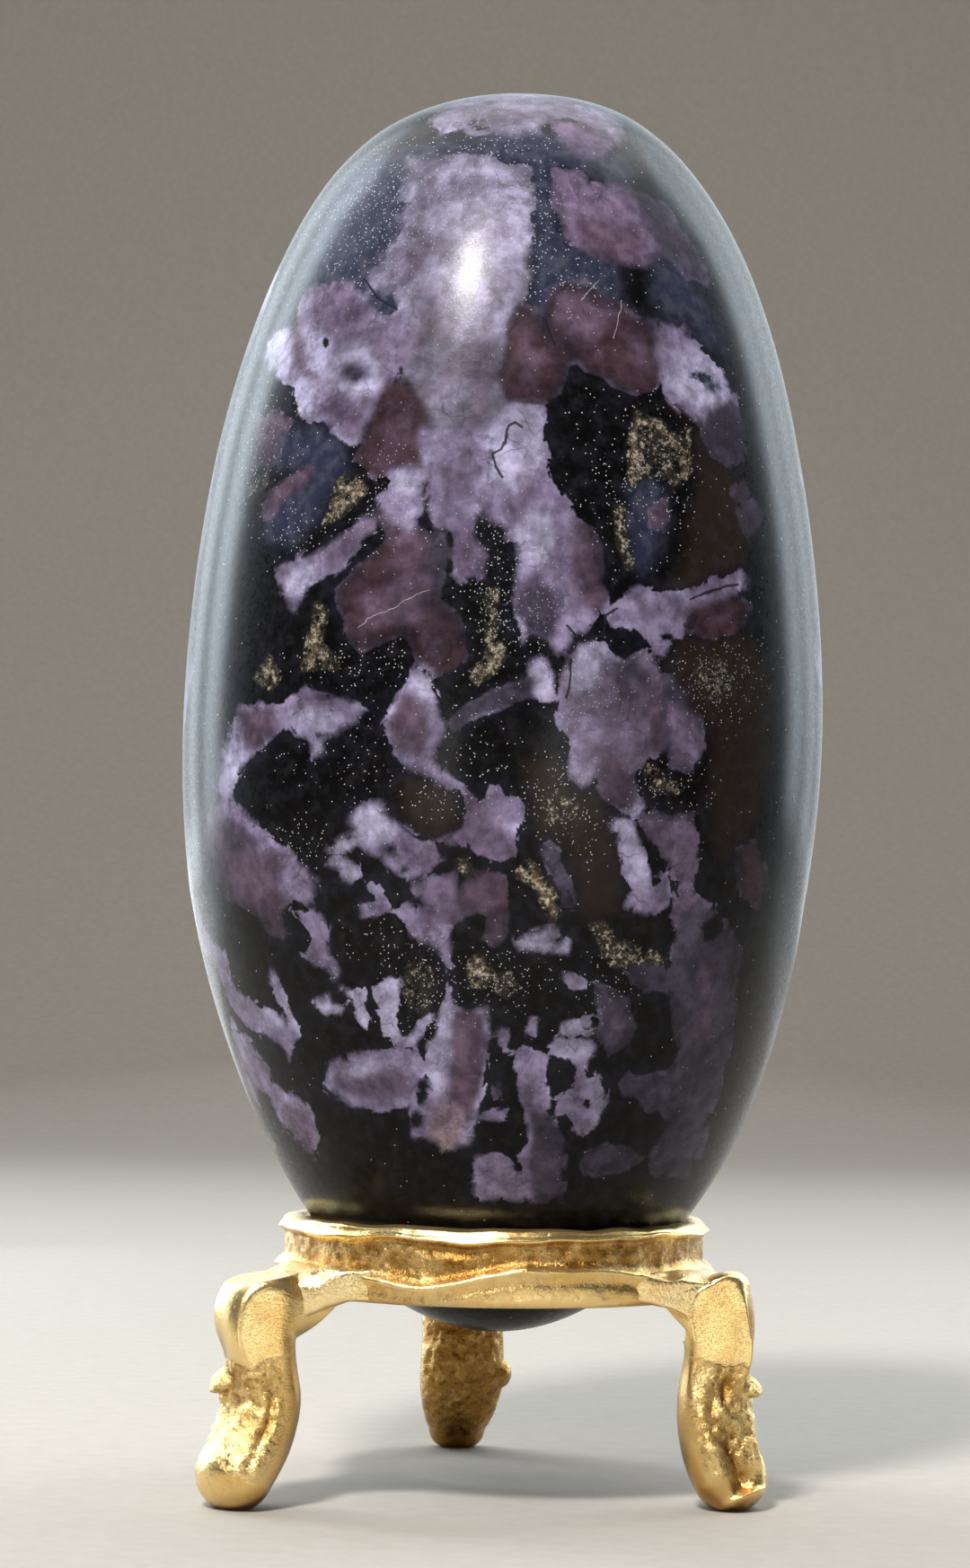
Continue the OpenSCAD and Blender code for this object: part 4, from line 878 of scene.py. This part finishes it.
def make_leg(name, angle, splay, facing, rough_side, top_fall, lumps, knobs, seed, finish):
    """Leg swept along its middle line. Each ring is an ellipse whose radius grows towards four corners as
    (|cos|^n + |sin|^n)^(-1/n), squarest at the knee. A plate lies over the knee down to a ragged edge.
    Lumps (each a bell in station and angle), knobs (each a half ball) and casting noise move the surface
    outwards. Then the leg is cut flat: by the sheet over the knee, by a sloping top, by a slope up to the
    ring's foot below the arm, and by the table."""
    steps, sides = 64, 144
    station, x, z, way_x, way_z, half_w, half_t = leg_path(splay, steps).T[:, :, None]
    degrees = np.linspace(-180, 180, sides, endpoint=False)
    t = np.radians(degrees)
    square = 2.0 + 0.8 * smooth(station, 1.9, 1.2) + 0.5 * bump(station, 2.2, 0.6)
    corner = (np.abs(np.cos(t)) ** square + np.abs(np.sin(t)) ** square) ** (-1 / square)
    out, side = corner * np.cos(t), corner * np.sin(t)
    size = np.hypot(out * half_t, side * half_w)
    rise = np.zeros_like(size)
    for at, toward, half_l, half_a, height in COMMON_LUMPS + lumps:
        rise = rise + height * bump(station, at, half_l) * bump(apart(degrees, toward), 0, half_a)
    for at, toward, half_l, half_a, height in knobs:
        ball = 1 - ((station - at) / half_l) ** 2 - (apart(degrees, toward) / half_a) ** 2
        rise = rise + height * np.sqrt(np.clip(ball, 0, 1))
    flat = np.stack([x - out * half_t * way_z, side * half_w + 0 * x, z + out * half_t * way_x], axis=-1)
    ragged = station + 0.035 * cloud(flat, 0.8, seed) + 0.05 * cloud(flat, 2.2, seed + 1)
    front = smooth(np.abs(apart(degrees, rough_side)), 84, 60)
    below = smooth(ragged, 1.46, 1.51)
    plate = (1 - below) * smooth(np.abs(degrees), 130, 90) * smooth(station, 0.7, 1.3)
    pitted = front * below * (1 - 0.8 * smooth(station, 2.6, 3.2))
    grain = 0.20 * cloud(flat, 0.7, seed + 2) + 0.15 * cloud(flat, 1.4, seed + 3)
    swell = 0.15 * cloud(flat, 4.5, seed + 4)
    rise = rise + 0.10 * plate + (0.05 + pitted) * grain + swell
    rise = rise * smooth(np.maximum(half_t, 0.4), 0.2, 2.2)
    out, side = out * (1 + rise / size), side * (1 + rise / size)
    local_x, local_y, local_z = x - out * half_t * way_z, side * half_w, z + out * half_t * way_x
    push_x, push_y = sheet_press(local_x, local_y, local_z, facing, 0.10 * plate)
    held = 1 - smooth(station, 1.5, 2.2)
    local_x, local_y = local_x - push_x * held, local_y - push_y * held
    beyond_ring = local_x - RING_R + SHEET_INSET
    slope = RING_BASE - 0.1 - 0.9 * beyond_ring - 30 * smooth(station, 0.75, 1.05)
    local_z = np.maximum(np.maximum(local_z, 0), slope)
    ceiling = ARM_TOP - top_fall * beyond_ring + 0.2 * cloud(flat, 3.0, seed + 5)
    local_z = np.where(station < 2, np.minimum(local_z, ceiling), local_z)
    points = swing(local_x, local_y, local_z, angle)
    piece = skin(name + "_cast", points)
    # Painted shade: dents, low pits, undersides and the inner side are tinted amber for shade and warm
    # reflection
    dent = 0.7 * np.clip(-(rise - 0.10 * plate - swell) / 1.1 - 0.1, 0, 1)
    inner_shade = 0.75 * smooth(np.abs(degrees), 80, 122) * smooth(station, 1.0, 1.5)
    hollow = dent + 0.30 * pitted * (grain < 0) + 0.6 * underside(points) + inner_shade
    mark(piece, "hollow", np.clip(hollow, 0, 1))
    mark(piece, "pitting", np.clip(0.06 + 0.85 * pitted, 0, 1))
    place(piece, "stand", name, finish)


def make_braze(name, angle, facing, seed, finish):
    """Web of braze from the ring's band to a leg. Its sections are flat sided superellipses: the half width
    falls with (1 - s)^2.2 from the spread on the ring to just inside the leg, the upper edge goes down from
    the band to the leg's top, and the lower edge goes down with s^1.7 from the ring's foot to the leg's
    underside. The first section bends with the ring, slow noise makes it lumpy, and the leg's sheet cuts it
    flat."""
    rows, columns, flatness = 56, 128, 0.45
    s = np.linspace(0, 1, rows)[:, None]
    t = np.linspace(-np.pi, np.pi, columns, endpoint=False)
    half_w = LEG_W / 2 + 0.1 + (BRAZE_SPREAD + 1.7) * (1 - s) ** 2.2 - 0.9 * smooth(s, 0.6, 1)
    top = ARM_TOP - 1.2 * smooth(s, 0, 1)
    bottom = RING_BASE + 0.05 - 3.6 * s ** 1.7
    out = np.sign(np.cos(t)) * np.abs(np.cos(t)) ** flatness
    side = np.sign(np.sin(t)) * np.abs(np.sin(t)) ** flatness
    local_y = half_w * side
    x = np.sqrt((RING_R - 0.5) ** 2 - local_y ** 2) + s * (BRAZE_L + 1.8)
    flat = np.stack([x, local_y, (top + bottom) / 2 + (top - bottom) / 2 * out], axis=-1)
    between = smooth(s, 0, 0.2) * smooth(s, 1, 0.75)
    rise = (0.40 * cloud(flat, 3.2, seed) + 0.16 * cloud(flat, 1.4, seed + 1)) * between
    local_y = local_y + rise * side
    local_z = flat[..., 2] + rise * out
    spare = 0.5 - 0.7 * smooth(s, 0, 0.8) + 0.5 * np.abs(rise)
    push_x, push_y = sheet_press(x, local_y, local_z, facing, spare)
    points = swing(x - 0.96 * push_x, local_y - 0.96 * push_y, local_z, angle)
    piece = skin(name + "_fillet", points)
    # Painted shade: dents and the underside of the web are tinted amber
    dent = 0.5 * np.clip(-rise / 0.8, 0, 1)
    mark(piece, "hollow", np.clip(dent + 0.7 * underside(points), 0, 1))
    mark(piece, "pitting", np.full(rise.shape, 0.15))
    place(piece, "stand", name, finish)


# Finishes

class Finish:
    """A node material in the making. Sockets take a number or colour, which is set on them, or another
    node's output, which is linked."""

    def __init__(self, name):
        self.material = bpy.data.materials.new(name)
        self.material.use_nodes = True
        self.tree = self.material.node_tree
        self.tree.nodes.clear()
        self.place = self.add("ShaderNodeTexCoord").outputs["Object"]

    def add(self, kind, sockets=None, **settings):
        """Add a node of a kind, with its settings, and fill its sockets."""
        node = self.tree.nodes.new(kind)
        for key, value in settings.items():
            setattr(node, key, value)
        for key, value in (sockets or {}).items():
            if isinstance(value, bpy.types.NodeSocket):
                self.tree.links.new(value, node.inputs[key])
            else:
                node.inputs[key].default_value = value
        return node

    def axes(self):
        """The place's own X, Y and Z."""
        return self.add("ShaderNodeSeparateXYZ", {"Vector": self.place}).outputs

    def channels(self, colour):
        """A colour's own Red, Green and Blue."""
        return self.add("ShaderNodeSeparateColor", {"Color": colour}).outputs

    def field(self, name, colour=False):
        """What mark stored under that name."""
        return self.add("ShaderNodeAttribute", attribute_name=name).outputs["Color" if colour else "Fac"]

    def noise(self, size, detail=2.0, rough=0.5, at=None, output="Fac"):
        """Noise with features of that many millimetres."""
        sockets = {"Vector": at or self.place, "Scale": 1 / (size * MM)}
        sockets.update({"Detail": detail, "Roughness": rough})
        return self.add("ShaderNodeTexNoise", sockets).outputs[output]

    def cells(self, size, feature="F1", at=None, output="Distance"):
        """Crooked cells of that many millimetres."""
        sockets = {"Vector": at or self.place, "Scale": 1 / (size * MM)}
        return self.add("ShaderNodeTexVoronoi", sockets, feature=feature).outputs[output]

    def math(self, operation, a, b=0.0, extra=0.0, clamp=False):
        """Sum on numbers; extra is what MULTIPLY_ADD adds."""
        sockets = {0: a, 1: b, 2: extra}
        return self.add("ShaderNodeMath", sockets, operation=operation, use_clamp=clamp).outputs[0]

    def step(self, value, low, high, to_low=0.0, to_high=1.0):
        """Smooth step from to_low at low to to_high at high; low may be the greater."""
        sockets = {"Value": value, "From Min": low, "From Max": high, "To Min": to_low, "To Max": to_high}
        return self.add("ShaderNodeMapRange", sockets, interpolation_type="SMOOTHSTEP").outputs["Result"]

    def blend(self, share, a, b, kind="MIX"):
        """Colour a, with that share of b mixed in."""
        sockets = {0: share, 6: a, 7: b}
        return self.add("ShaderNodeMix", sockets, data_type="RGBA", blend_type=kind).outputs[2]

    def stretch(self, scale, turn):
        """The place, scaled along each axis and turned."""
        sockets = {"Vector": self.place, "Scale": scale, "Rotation": turn}
        return self.add("ShaderNodeMapping", sockets).outputs[0]

    def bump(self, height, depth, strength):
        """Bump of that many millimetres."""
        sockets = {"Height": height, "Distance": depth * MM, "Strength": strength}
        return self.add("ShaderNodeBump", sockets).outputs[0]

    def vector(self, operation, a, b=(0.0, 0.0, 0.0), output=0, extra=(0.0, 0.0, 0.0)):
        """Sum on vectors; extra is what MULTIPLY_ADD adds."""
        sockets = {0: a, 1: b, 2: extra}
        return self.add("ShaderNodeVectorMath", sockets, operation=operation).outputs[output]

    def front_plane(self):
        """Across and up in millimetres on the plane through the axis, as the viewer's eye sees each point,
        with a small wobble."""
        spot = self.axes()
        away = self.math("MULTIPLY_ADD", spot["Y"], 1 / MM, extra=EYE_DISTANCE)
        reach = self.math("DIVIDE", EYE_DISTANCE, away)
        across = self.math("MULTIPLY", self.math("MULTIPLY", spot["X"], 1 / MM), reach)
        rise = self.math("MULTIPLY_ADD", spot["Z"], 1 / MM, extra=-EYE_HEIGHT)
        up = self.math("MULTIPLY_ADD", rise, reach, extra=EYE_HEIGHT)
        wobble = self.math("SUBTRACT", self.noise(FRONT_STRAY_SIZE, 3.0), 0.5)
        sockets = {"X": self.math("ADD", across, wobble), "Y": self.math("SUBTRACT", up, wobble)}
        return self.add("ShaderNodeCombineXYZ", sockets).outputs[0]

    def hairline(self, plane, points, half_width):
        """1 on a broken line through the points and 0 beyond its half width. The distance to each stretch
        is the length left after taking away the nearest point of that stretch."""
        nearest = None
        for (ax, ay), (bx, by) in zip(points[:-1], points[1:]):
            way = (bx - ax, by - ay, 0.0)
            square = way[0] ** 2 + way[1] ** 2
            off = self.vector("SUBTRACT", plane, (ax, ay, 0.0))
            along = self.vector("DOT_PRODUCT", off, (way[0] / square, way[1] / square, 0.0), "Value")
            along = self.math("ADD", along, 0.0, clamp=True)
            foot = self.add("ShaderNodeCombineXYZ", {"X": along, "Y": along}).outputs[0]
            rest = self.vector("SUBTRACT", off, self.vector("MULTIPLY", foot, way))
            far = self.vector("LENGTH", rest, output="Value")
            nearest = far if nearest is None else self.math("MINIMUM", nearest, far)
        return self.step(nearest, 1.3 * half_width, 0.5 * half_width)

    def close(self, sockets):
        """End with one principled shader, and give the material."""
        shader = self.add("ShaderNodeBsdfPrincipled", sockets)
        self.add("ShaderNodeOutputMaterial", {"Surface": shader.outputs[0]})
        return self.material


def rgba(r, g, b):
    """Opaque colour (linear)."""
    return (r, g, b, 1.0)


def feldspar_edge(f, fine, bent):
    """Depth in the feldspar, its edge broken by slow noise, by blocky crystals and by fine fraying."""
    wander = f.math("MULTIPLY_ADD", f.noise(2.4, 4.0, 0.6), 1.1, extra=-0.55)
    block = f.channels(f.cells(1.5, at=bent, output="Color"))["Red"]
    wander = f.math("ADD", wander, f.math("MULTIPLY_ADD", block, 0.6, extra=-0.30))
    fray = f.math("MULTIPLY_ADD", fine, 0.45, extra=-0.22)
    return f.math("ADD", f.field("feldspar"), f.math("ADD", wander, fray))


def feldspar_share(f, edge, tone):
    """1 in the feldspar and 0 in the dark ground. The cut is crisp in some places and soft in others, and
    softer in dim minerals and towards the stone's upper end."""
    softness = f.step(f.noise(6.5), 0.40, 0.66, 0.16, 1.0)
    softness = f.math("MULTIPLY", softness, f.step(tone, 0.035, 0.13, 3.2, 1.0))
    softness = f.math("MULTIPLY", softness, f.step(f.axes()["Z"], 122 * MM, 142 * MM, 1.0, 2.0))
    return f.step(f.math("DIVIDE", edge, softness), -0.7, 0.8)


def light_side(f, edge, pale, tone, patchy, haze, fine, bent):
    """Colour of the feldspar: mauve deep inside, glowing in places by its edge, cloudy and dusty, with fine
    scratches and faint dark veins."""
    deep = f.math("MULTIPLY", f.step(edge, 0.8, 3.2), f.step(patchy, 0.62, 0.42, 0.0, 0.62))
    deep = f.math("MULTIPLY", deep, f.step(tone, 0.33, 0.19))
    pale = f.blend(deep, pale, rgba(0.105, 0.072, 0.112))
    glow = f.math("MULTIPLY", f.step(edge, 2.2, 0.2), f.step(patchy, 0.52, 0.68, 0.0, 0.60))
    glow = f.math("MULTIPLY", glow, f.step(tone, 0.05, 0.14))
    pale = f.blend(glow, pale, rgba(0.36, 0.34, 0.51))
    crystal = f.channels(f.cells(3.2, at=bent, output="Color"))["Green"]
    for cloudy in (
        f.step(haze, 0.30, 0.70, 0.63, 1.28),
        f.step(crystal, 0.0, 1.0, 0.84, 1.14),
        f.step(f.noise(7.5), 0.36, 0.62, 0.72, 1.14),
    ):
        pale = f.blend(1.0, pale, cloudy, "MULTIPLY")
    dusty = f.math("MULTIPLY", f.step(fine, 0.62, 0.36), f.step(f.noise(3.4), 0.48, 0.66, 0.0, 0.42))
    pale = f.blend(dusty, pale, rgba(0.050, 0.040, 0.062))
    upright = f.noise(0.9, 3.0, 0.6, at=f.stretch((7.0, 7.0, 0.45), (0.0, 0.15, 0.0)))
    sloping = f.noise(0.9, 3.0, 0.6, at=f.stretch((7.0, 7.0, 0.40), (0.0, 1.15, 0.0)))
    scratch = f.math("MAXIMUM", f.step(upright, 0.71, 0.75), f.step(sloping, 0.71, 0.75))
    scratch = f.math("MULTIPLY", scratch, f.step(f.noise(6.0), 0.53, 0.64))
    pale = f.blend(f.math("MULTIPLY", scratch, 0.5), pale, rgba(0.55, 0.52, 0.55))
    vein = f.step(f.cells(3.6, "DISTANCE_TO_EDGE", at=bent), 0.034, 0.008)
    vein = f.math("MULTIPLY", vein, f.step(f.noise(4.0), 0.53, 0.64, 0.0, 0.45))
    return f.blend(vein, pale, rgba(0.030, 0.025, 0.044))


def dark_side(f, edge, patchy, haze):
    """Colour of the ground: blue by the feldspar's edge, mottled where it is navy, and smoky in places."""
    dark = f.field("dark", True)
    navy = f.channels(dark)["Blue"]
    fringe = f.math("MULTIPLY", f.step(edge, -2.2, -0.1), f.step(patchy, 0.40, 0.64, 0.0, 0.28))
    dark = f.blend(fringe, dark, rgba(0.015, 0.016, 0.032))
    mottle = f.math("MULTIPLY", f.step(haze, 0.40, 0.70), f.step(navy, 0.004, 0.045, 0.10, 0.75))
    dark = f.blend(mottle, dark, rgba(0.060, 0.062, 0.090))
    smoky = f.step(f.noise(3.0, 5.0, 0.62), 0.52, 0.78, 0.0, 0.30)
    return f.blend(smoky, dark, rgba(0.022, 0.017, 0.015))


def add_brass(f, ground, light):
    """Brassy seams: a dim bed with bright specks. Gives the colour, and the share that the seams take."""
    brass = f.field("brass")
    nest = f.math("MULTIPLY", f.step(brass, 0.15, 0.45), f.step(f.noise(1.2, 4.0, 0.65), 0.36, 0.54))
    nest = f.math("MULTIPLY", nest, f.step(light, 1.0, 0.0, 0.35, 1.0))
    lustre = f.math("ADD", f.noise(0.62, 5.0, 0.80), f.math("MULTIPLY", brass, 0.10))
    bed = f.blend(f.step(brass, 0.65, 0.95), rgba(0.024, 0.021, 0.017), rgba(0.085, 0.062, 0.042))
    metal = f.blend(f.step(lustre, 0.55, 0.74), bed, rgba(0.58, 0.50, 0.39))
    return f.blend(nest, ground, metal), nest


def add_grains(f, colour, light):
    """Pale grains, partly real specks and partly painted glints of the polish: one in each cell of a fine
    net, of varied size, and kept by chance, more often in the crowds."""
    net = 0.19
    chance = f.add("ShaderNodeTexWhiteNoise", {"Vector": f.cells(net, output="Position")}).outputs
    girth = f.channels(chance["Color"])["Red"]
    rim = f.math("MULTIPLY_ADD", f.math("POWER", girth, 2.0), 0.34, extra=0.10)
    spots = f.step(f.math("DIVIDE", f.cells(net), rim), 1.1, 0.6)
    odds = f.math("MULTIPLY_ADD", f.field("grains_and_glints"), -0.24, extra=0.997)
    rare = f.math("GREATER_THAN", chance["Value"], odds)
    spark = f.math("MULTIPLY", f.math("MULTIPLY", spots, rare), f.step(light, 0.0, 1.0, 0.75, 0.40))
    spark = f.math("MULTIPLY", spark, f.step(girth, 0.1, 0.9, 0.30, 1.0))
    return f.blend(spark, colour, rgba(0.70, 0.70, 0.73))


def add_lines(f, colour):
    """Dark cracks and pale scores on the front. Each kind has its lines, half width, colour and share."""
    plane = f.front_plane()
    seen = f.math("LESS_THAN", f.axes()["Y"], 0.0)
    for lines, half_width, paint, share in (
        (CRACKS, 0.16, rgba(0.012, 0.010, 0.016), 0.9),
        (SCORES, 0.045, rgba(0.62, 0.58, 0.60), 0.45),
    ):
        drawn = f.hairline(plane, lines[0], half_width)
        for line in lines[1:]:
            drawn = f.math("MAXIMUM", drawn, f.hairline(plane, line, half_width))
        shown = f.math("MULTIPLY", f.math("MULTIPLY", drawn, seen), share)
        colour = f.blend(shown, colour, paint)
    return colour


def stone_finish():
    """Polished feldspar in a dark ground, with brassy seams, pale grains and painted glints, cracks and
    scores. A thin gloss lies over all."""
    f = Finish("polished figured stone")
    patchy, haze, fine = f.noise(5.0), f.noise(1.5, 5.0, 0.60), f.noise(0.5, 3.0, 0.65)
    bent = f.vector("MULTIPLY_ADD", f.noise(1.6, output="Color"), (1.4 * MM,) * 3, extra=f.place)
    pale = f.field("light", True)
    tone = f.channels(pale)["Green"]
    edge = feldspar_edge(f, fine, bent)
    light = feldspar_share(f, edge, tone)
    pale = light_side(f, edge, pale, tone, patchy, haze, fine, bent)
    ground = f.blend(light, dark_side(f, edge, patchy, haze), pale)
    colour, nest = add_brass(f, ground, light)
    colour = add_lines(f, add_grains(f, colour, light))
    return f.close({
        "Base Color": colour,
        "Metallic": f.math("MULTIPLY", nest, 0.35),
        "Roughness": f.step(fine, 0.3, 0.7, 0.26, 0.42),
        "Specular IOR Level": 0.055,
        "Normal": f.bump(f.noise(0.26, 2.0, 0.7), 0.030, 0.8),
        "Coat Weight": 0.38,
        "Coat Roughness": 0.12,
        "Coat IOR": 1.28,
        "Coat Normal": f.bump(f.noise(0.20, 2.0, 0.6), 0.018, 0.7),
    })


def gilt_finish(name, bright, deep):
    """Cast and gilded metal. Painted shade goes down to amber, standing in for the shade and warm
    reflection in the cove, dents, undersides and inner sides, and pits go to brown; high places are bright,
    and the roughness and the bump grow with the pitting."""
    f = Finish(name)
    pitting, hollow = f.field("pitting"), f.field("hollow")
    coarse = f.noise(0.9, 4.0, 0.65)
    fine = f.noise(0.30, 3.0, 0.7)
    tarnish = f.step(f.noise(5.0, 3.0, 0.6), 0.42, 0.70)
    colour = f.blend(f.math("MULTIPLY", tarnish, 0.40), bright, deep)
    # painted shade: amber where shade and the warm surround's reflection fall on the metal
    colour = f.blend(f.math("MULTIPLY", hollow, 0.88), colour, rgba(0.34, 0.155, 0.022))
    pits = f.math("MULTIPLY", f.step(coarse, 0.48, 0.32), pitting)
    colour = f.blend(f.math("MULTIPLY", pits, 0.75), colour, rgba(0.10, 0.050, 0.010))
    rough = f.math("ADD", f.step(fine, 0.3, 0.7, 0.13, 0.24), f.math("MULTIPLY", pitting, 0.12))
    grit = f.math("MULTIPLY", fine, f.math("MULTIPLY_ADD", pitting, 0.55, extra=0.20))
    height = f.math("ADD", f.math("MULTIPLY", coarse, pitting), grit)
    return f.close({
        "Base Color": colour,
        "Metallic": f.step(pitting, 0.05, 0.5, 0.90, 1.0),
        "Roughness": rough,
        "Normal": f.bump(height, 0.30, 0.8),
    })


def floor_finish():
    """Matt pale paper with a trace of grain."""
    f = Finish("pale studio paper")
    grain = f.step(f.noise(3.0, 3.0), 0.3, 0.7)
    colour = f.blend(grain, rgba(0.375, 0.345, 0.305), rgba(0.395, 0.365, 0.325))
    return f.close({"Base Color": colour, "Roughness": 0.75, "Specular IOR Level": 0.2})


# Studio

def make_sweep():
    """Floor that turns up behind the part in a quarter circle into an upright backdrop."""
    steps, radius, back, front, top, half_width = 24, 500.0, 800.0, -1600.0, 1700.0, 1800.0
    bend = np.radians(np.linspace(0, 90, steps))
    y = np.concatenate([[front], back + radius * np.sin(bend), [back + radius]])
    z = np.concatenate([[0], radius - radius * np.cos(bend), [top]])
    x = np.array([-half_width, half_width])
    grid = np.stack(np.broadcast_arrays(x[None, :], y[:, None], z[:, None]), axis=-1).reshape(-1, 3)
    first = 2 * np.arange(len(y) - 1)
    faces = np.stack([first, first + 1, first + 3, first + 2], axis=-1)
    mesh = bpy.data.meshes.new("paper_sweep")
    mesh.from_pydata((grid * MM).tolist(), [], faces.tolist())
    mesh.polygons.foreach_set("use_smooth", np.ones(len(mesh.polygons), bool))
    mesh.materials.append(floor_finish())
    sweep = bpy.data.objects.new("paper_sweep", mesh)
    bpy.context.scene.collection.objects.link(sweep)


# Soft boxes: name, place, aim (metres), width, height, power (watts), colour. The keys are round, and the
# beams from the left and the right are narrowed.
DAYLIGHT = (0.80, 0.91, 1.0)
SIDE_SPREAD = 110
SURROUND = (0.06, 0.06, 0.065)
SOFT_BOXES = [
    ("key", (-0.25, -0.57, 0.83), (0.0, 0.0, 0.12), 0.15, 0.17, 10.6, (1.0, 0.98, 0.96)),
    ("key_rim", (-0.27, -0.58, 0.86), (0.0, 0.0, 0.12), 0.32, 0.50, 2.0, (1.0, 0.98, 0.96)),
    ("key_glow", (-0.30, -0.57, 0.90), (0.0, 0.0, 0.12), 0.62, 0.66, 0.6, (1.0, 0.99, 0.98)),
    ("key_low", (0.325, -0.731, 0.06), (0.0, 0.0, 0.02), 0.32, 0.20, 0.52, (1.0, 0.97, 0.91)),
    ("low_front", (-0.26, -0.72, 0.07), (0.0, 0.0, 0.03), 0.13, 0.10, 0.23, (1.0, 0.97, 0.92)),
    ("front_strip", (-0.34, -0.95, 0.42), (0.0, 0.0, 0.10), 0.16, 0.70, 0.12, (1.0, 1.0, 1.0)),
    ("left_front", (-0.660, 0.452, 0.44), (0.0, 0.0, 0.09), 0.20, 0.86, 2.1, DAYLIGHT),
    ("left_side", (-0.476, 0.643, 0.44), (0.0, 0.0, 0.09), 0.20, 0.86, 0.90, DAYLIGHT),
    ("left_back", (-0.207, 0.773, 0.44), (0.0, 0.0, 0.09), 0.42, 0.86, 0.54, DAYLIGHT),
    ("right_front", (0.645, 0.473, 0.45), (0.0, 0.0, 0.09), 0.18, 0.86, 1.05, DAYLIGHT),
    ("right_side", (0.496, 0.628, 0.45), (0.0, 0.0, 0.09), 0.20, 0.86, 0.60, DAYLIGHT),
    ("right_back", (0.220, 0.769, 0.45), (0.0, 0.0, 0.09), 0.42, 0.86, 0.55, DAYLIGHT),
    ("left_low", (-0.217, 0.312, 0.045), (-0.02, 0.0, 0.07), 0.30, 0.07, 0.045, (0.90, 0.95, 1.0)),
    ("right_low", (0.217, 0.312, 0.045), (0.02, 0.0, 0.07), 0.30, 0.07, 0.014, (0.90, 0.95, 1.0)),
    ("left_top", (-0.55, 0.18, 0.86), (0.0, 0.0, 0.12), 0.50, 0.42, 0.24, (0.88, 0.95, 1.0)),
    ("right_top", (0.55, 0.18, 0.86), (0.0, 0.0, 0.12), 0.50, 0.42, 0.24, (0.88, 0.95, 1.0)),
    ("sky", (0.0, 0.28, 1.00), (0.0, 0.16, 0.0), 1.2, 0.66, 5.8, (1.0, 0.98, 0.95)),
]


def make_light():
    """Soft boxes, each turned from its place to its aim, and a dim even surround."""
    for name, at, aim, width, height, power, colour in SOFT_BOXES:
        lamp = bpy.data.lights.new(name, "AREA")
        lamp.shape = "ELLIPSE" if name.startswith("key") else "RECTANGLE"
        lamp.size, lamp.size_y = width, height
        lamp.energy, lamp.color = power, colour
        if name.startswith(("left", "right")):
            lamp.spread = math.radians(SIDE_SPREAD)
        box = bpy.data.objects.new(name, lamp)
        box.location = at
        box.rotation_euler = (Vector(aim) - Vector(at)).to_track_quat("-Z", "Y").to_euler()
        box.visible_camera = False
        bpy.context.scene.collection.objects.link(box)
    world = bpy.data.worlds.new("studio")
    world.use_nodes = True
    world.node_tree.nodes["Background"].inputs["Color"].default_value = rgba(*SURROUND)
    bpy.context.scene.world = world


# Camera: tilt, roll and pan in degrees, focal length and sensor height in millimetres
CAMERA_TURNS = (3.6, 1.0, 0.28)
FOCAL_LENGTH, SENSOR_HEIGHT = 78.68, 36.0


def make_camera():
    """Eye level with the stone's lower third, tilted up a little and rolled, as in the photograph."""
    tilt, roll, pan = (math.radians(turn) for turn in CAMERA_TURNS)
    ahead = Vector((0, math.cos(tilt), math.sin(tilt)))
    level, rise = Vector((1, 0, 0)), Vector((0, -math.sin(tilt), math.cos(tilt)))
    right = level * math.cos(roll) + rise * math.sin(roll)
    up = rise * math.cos(roll) - level * math.sin(roll)
    turn = Matrix((right, up, -ahead)).transposed()
    turn = Matrix.Rotation(pan, 3, "Z") @ turn
    lens = bpy.data.cameras.new("camera")
    lens.sensor_fit = "VERTICAL"
    lens.sensor_height, lens.lens = SENSOR_HEIGHT, FOCAL_LENGTH
    lens.clip_start = 0.01
    camera = bpy.data.objects.new("camera", lens)
    camera.matrix_world = Matrix.Translation((0, -EYE_DISTANCE * MM, EYE_HEIGHT * MM)) @ turn.to_4x4()
    bpy.context.scene.collection.objects.link(camera)
    bpy.context.scene.camera = camera


make_camera()
make_sweep()
make_light()
make_stone(stone_finish())
GILT = gilt_finish("gilt casting", rgba(1.0, 0.75, 0.33), rgba(0.74, 0.37, 0.05))
BRAZE = gilt_finish("gilt braze", rgba(1.0, 0.79, 0.40), rgba(0.78, 0.42, 0.07))
make_ring(GILT)
make_leg("leg_left", angle=216, splay=1.08, facing=68, rough_side=10, top_fall=0.17,
         lumps=LEFT_LUMPS, knobs=LEFT_KNOBS, seed=60, finish=GILT)
make_leg("leg_right", angle=331, splay=0.62, facing=-51, rough_side=-15, top_fall=0.03,
         lumps=RIGHT_LUMPS, knobs=RIGHT_KNOBS, seed=70, finish=GILT)
make_leg("leg_back", angle=97, splay=1.0, facing=90, rough_side=180, top_fall=0.20,
         lumps=BACK_LUMPS, knobs=BACK_KNOBS, seed=80, finish=GILT)
make_braze("braze_left", angle=216, facing=68, seed=90, finish=BRAZE)
make_braze("braze_right", angle=331, facing=-51, seed=92, finish=BRAZE)
make_braze("braze_back", angle=97, facing=90, seed=94, finish=BRAZE)

bpy.context.scene.view_settings.view_transform = "Standard"
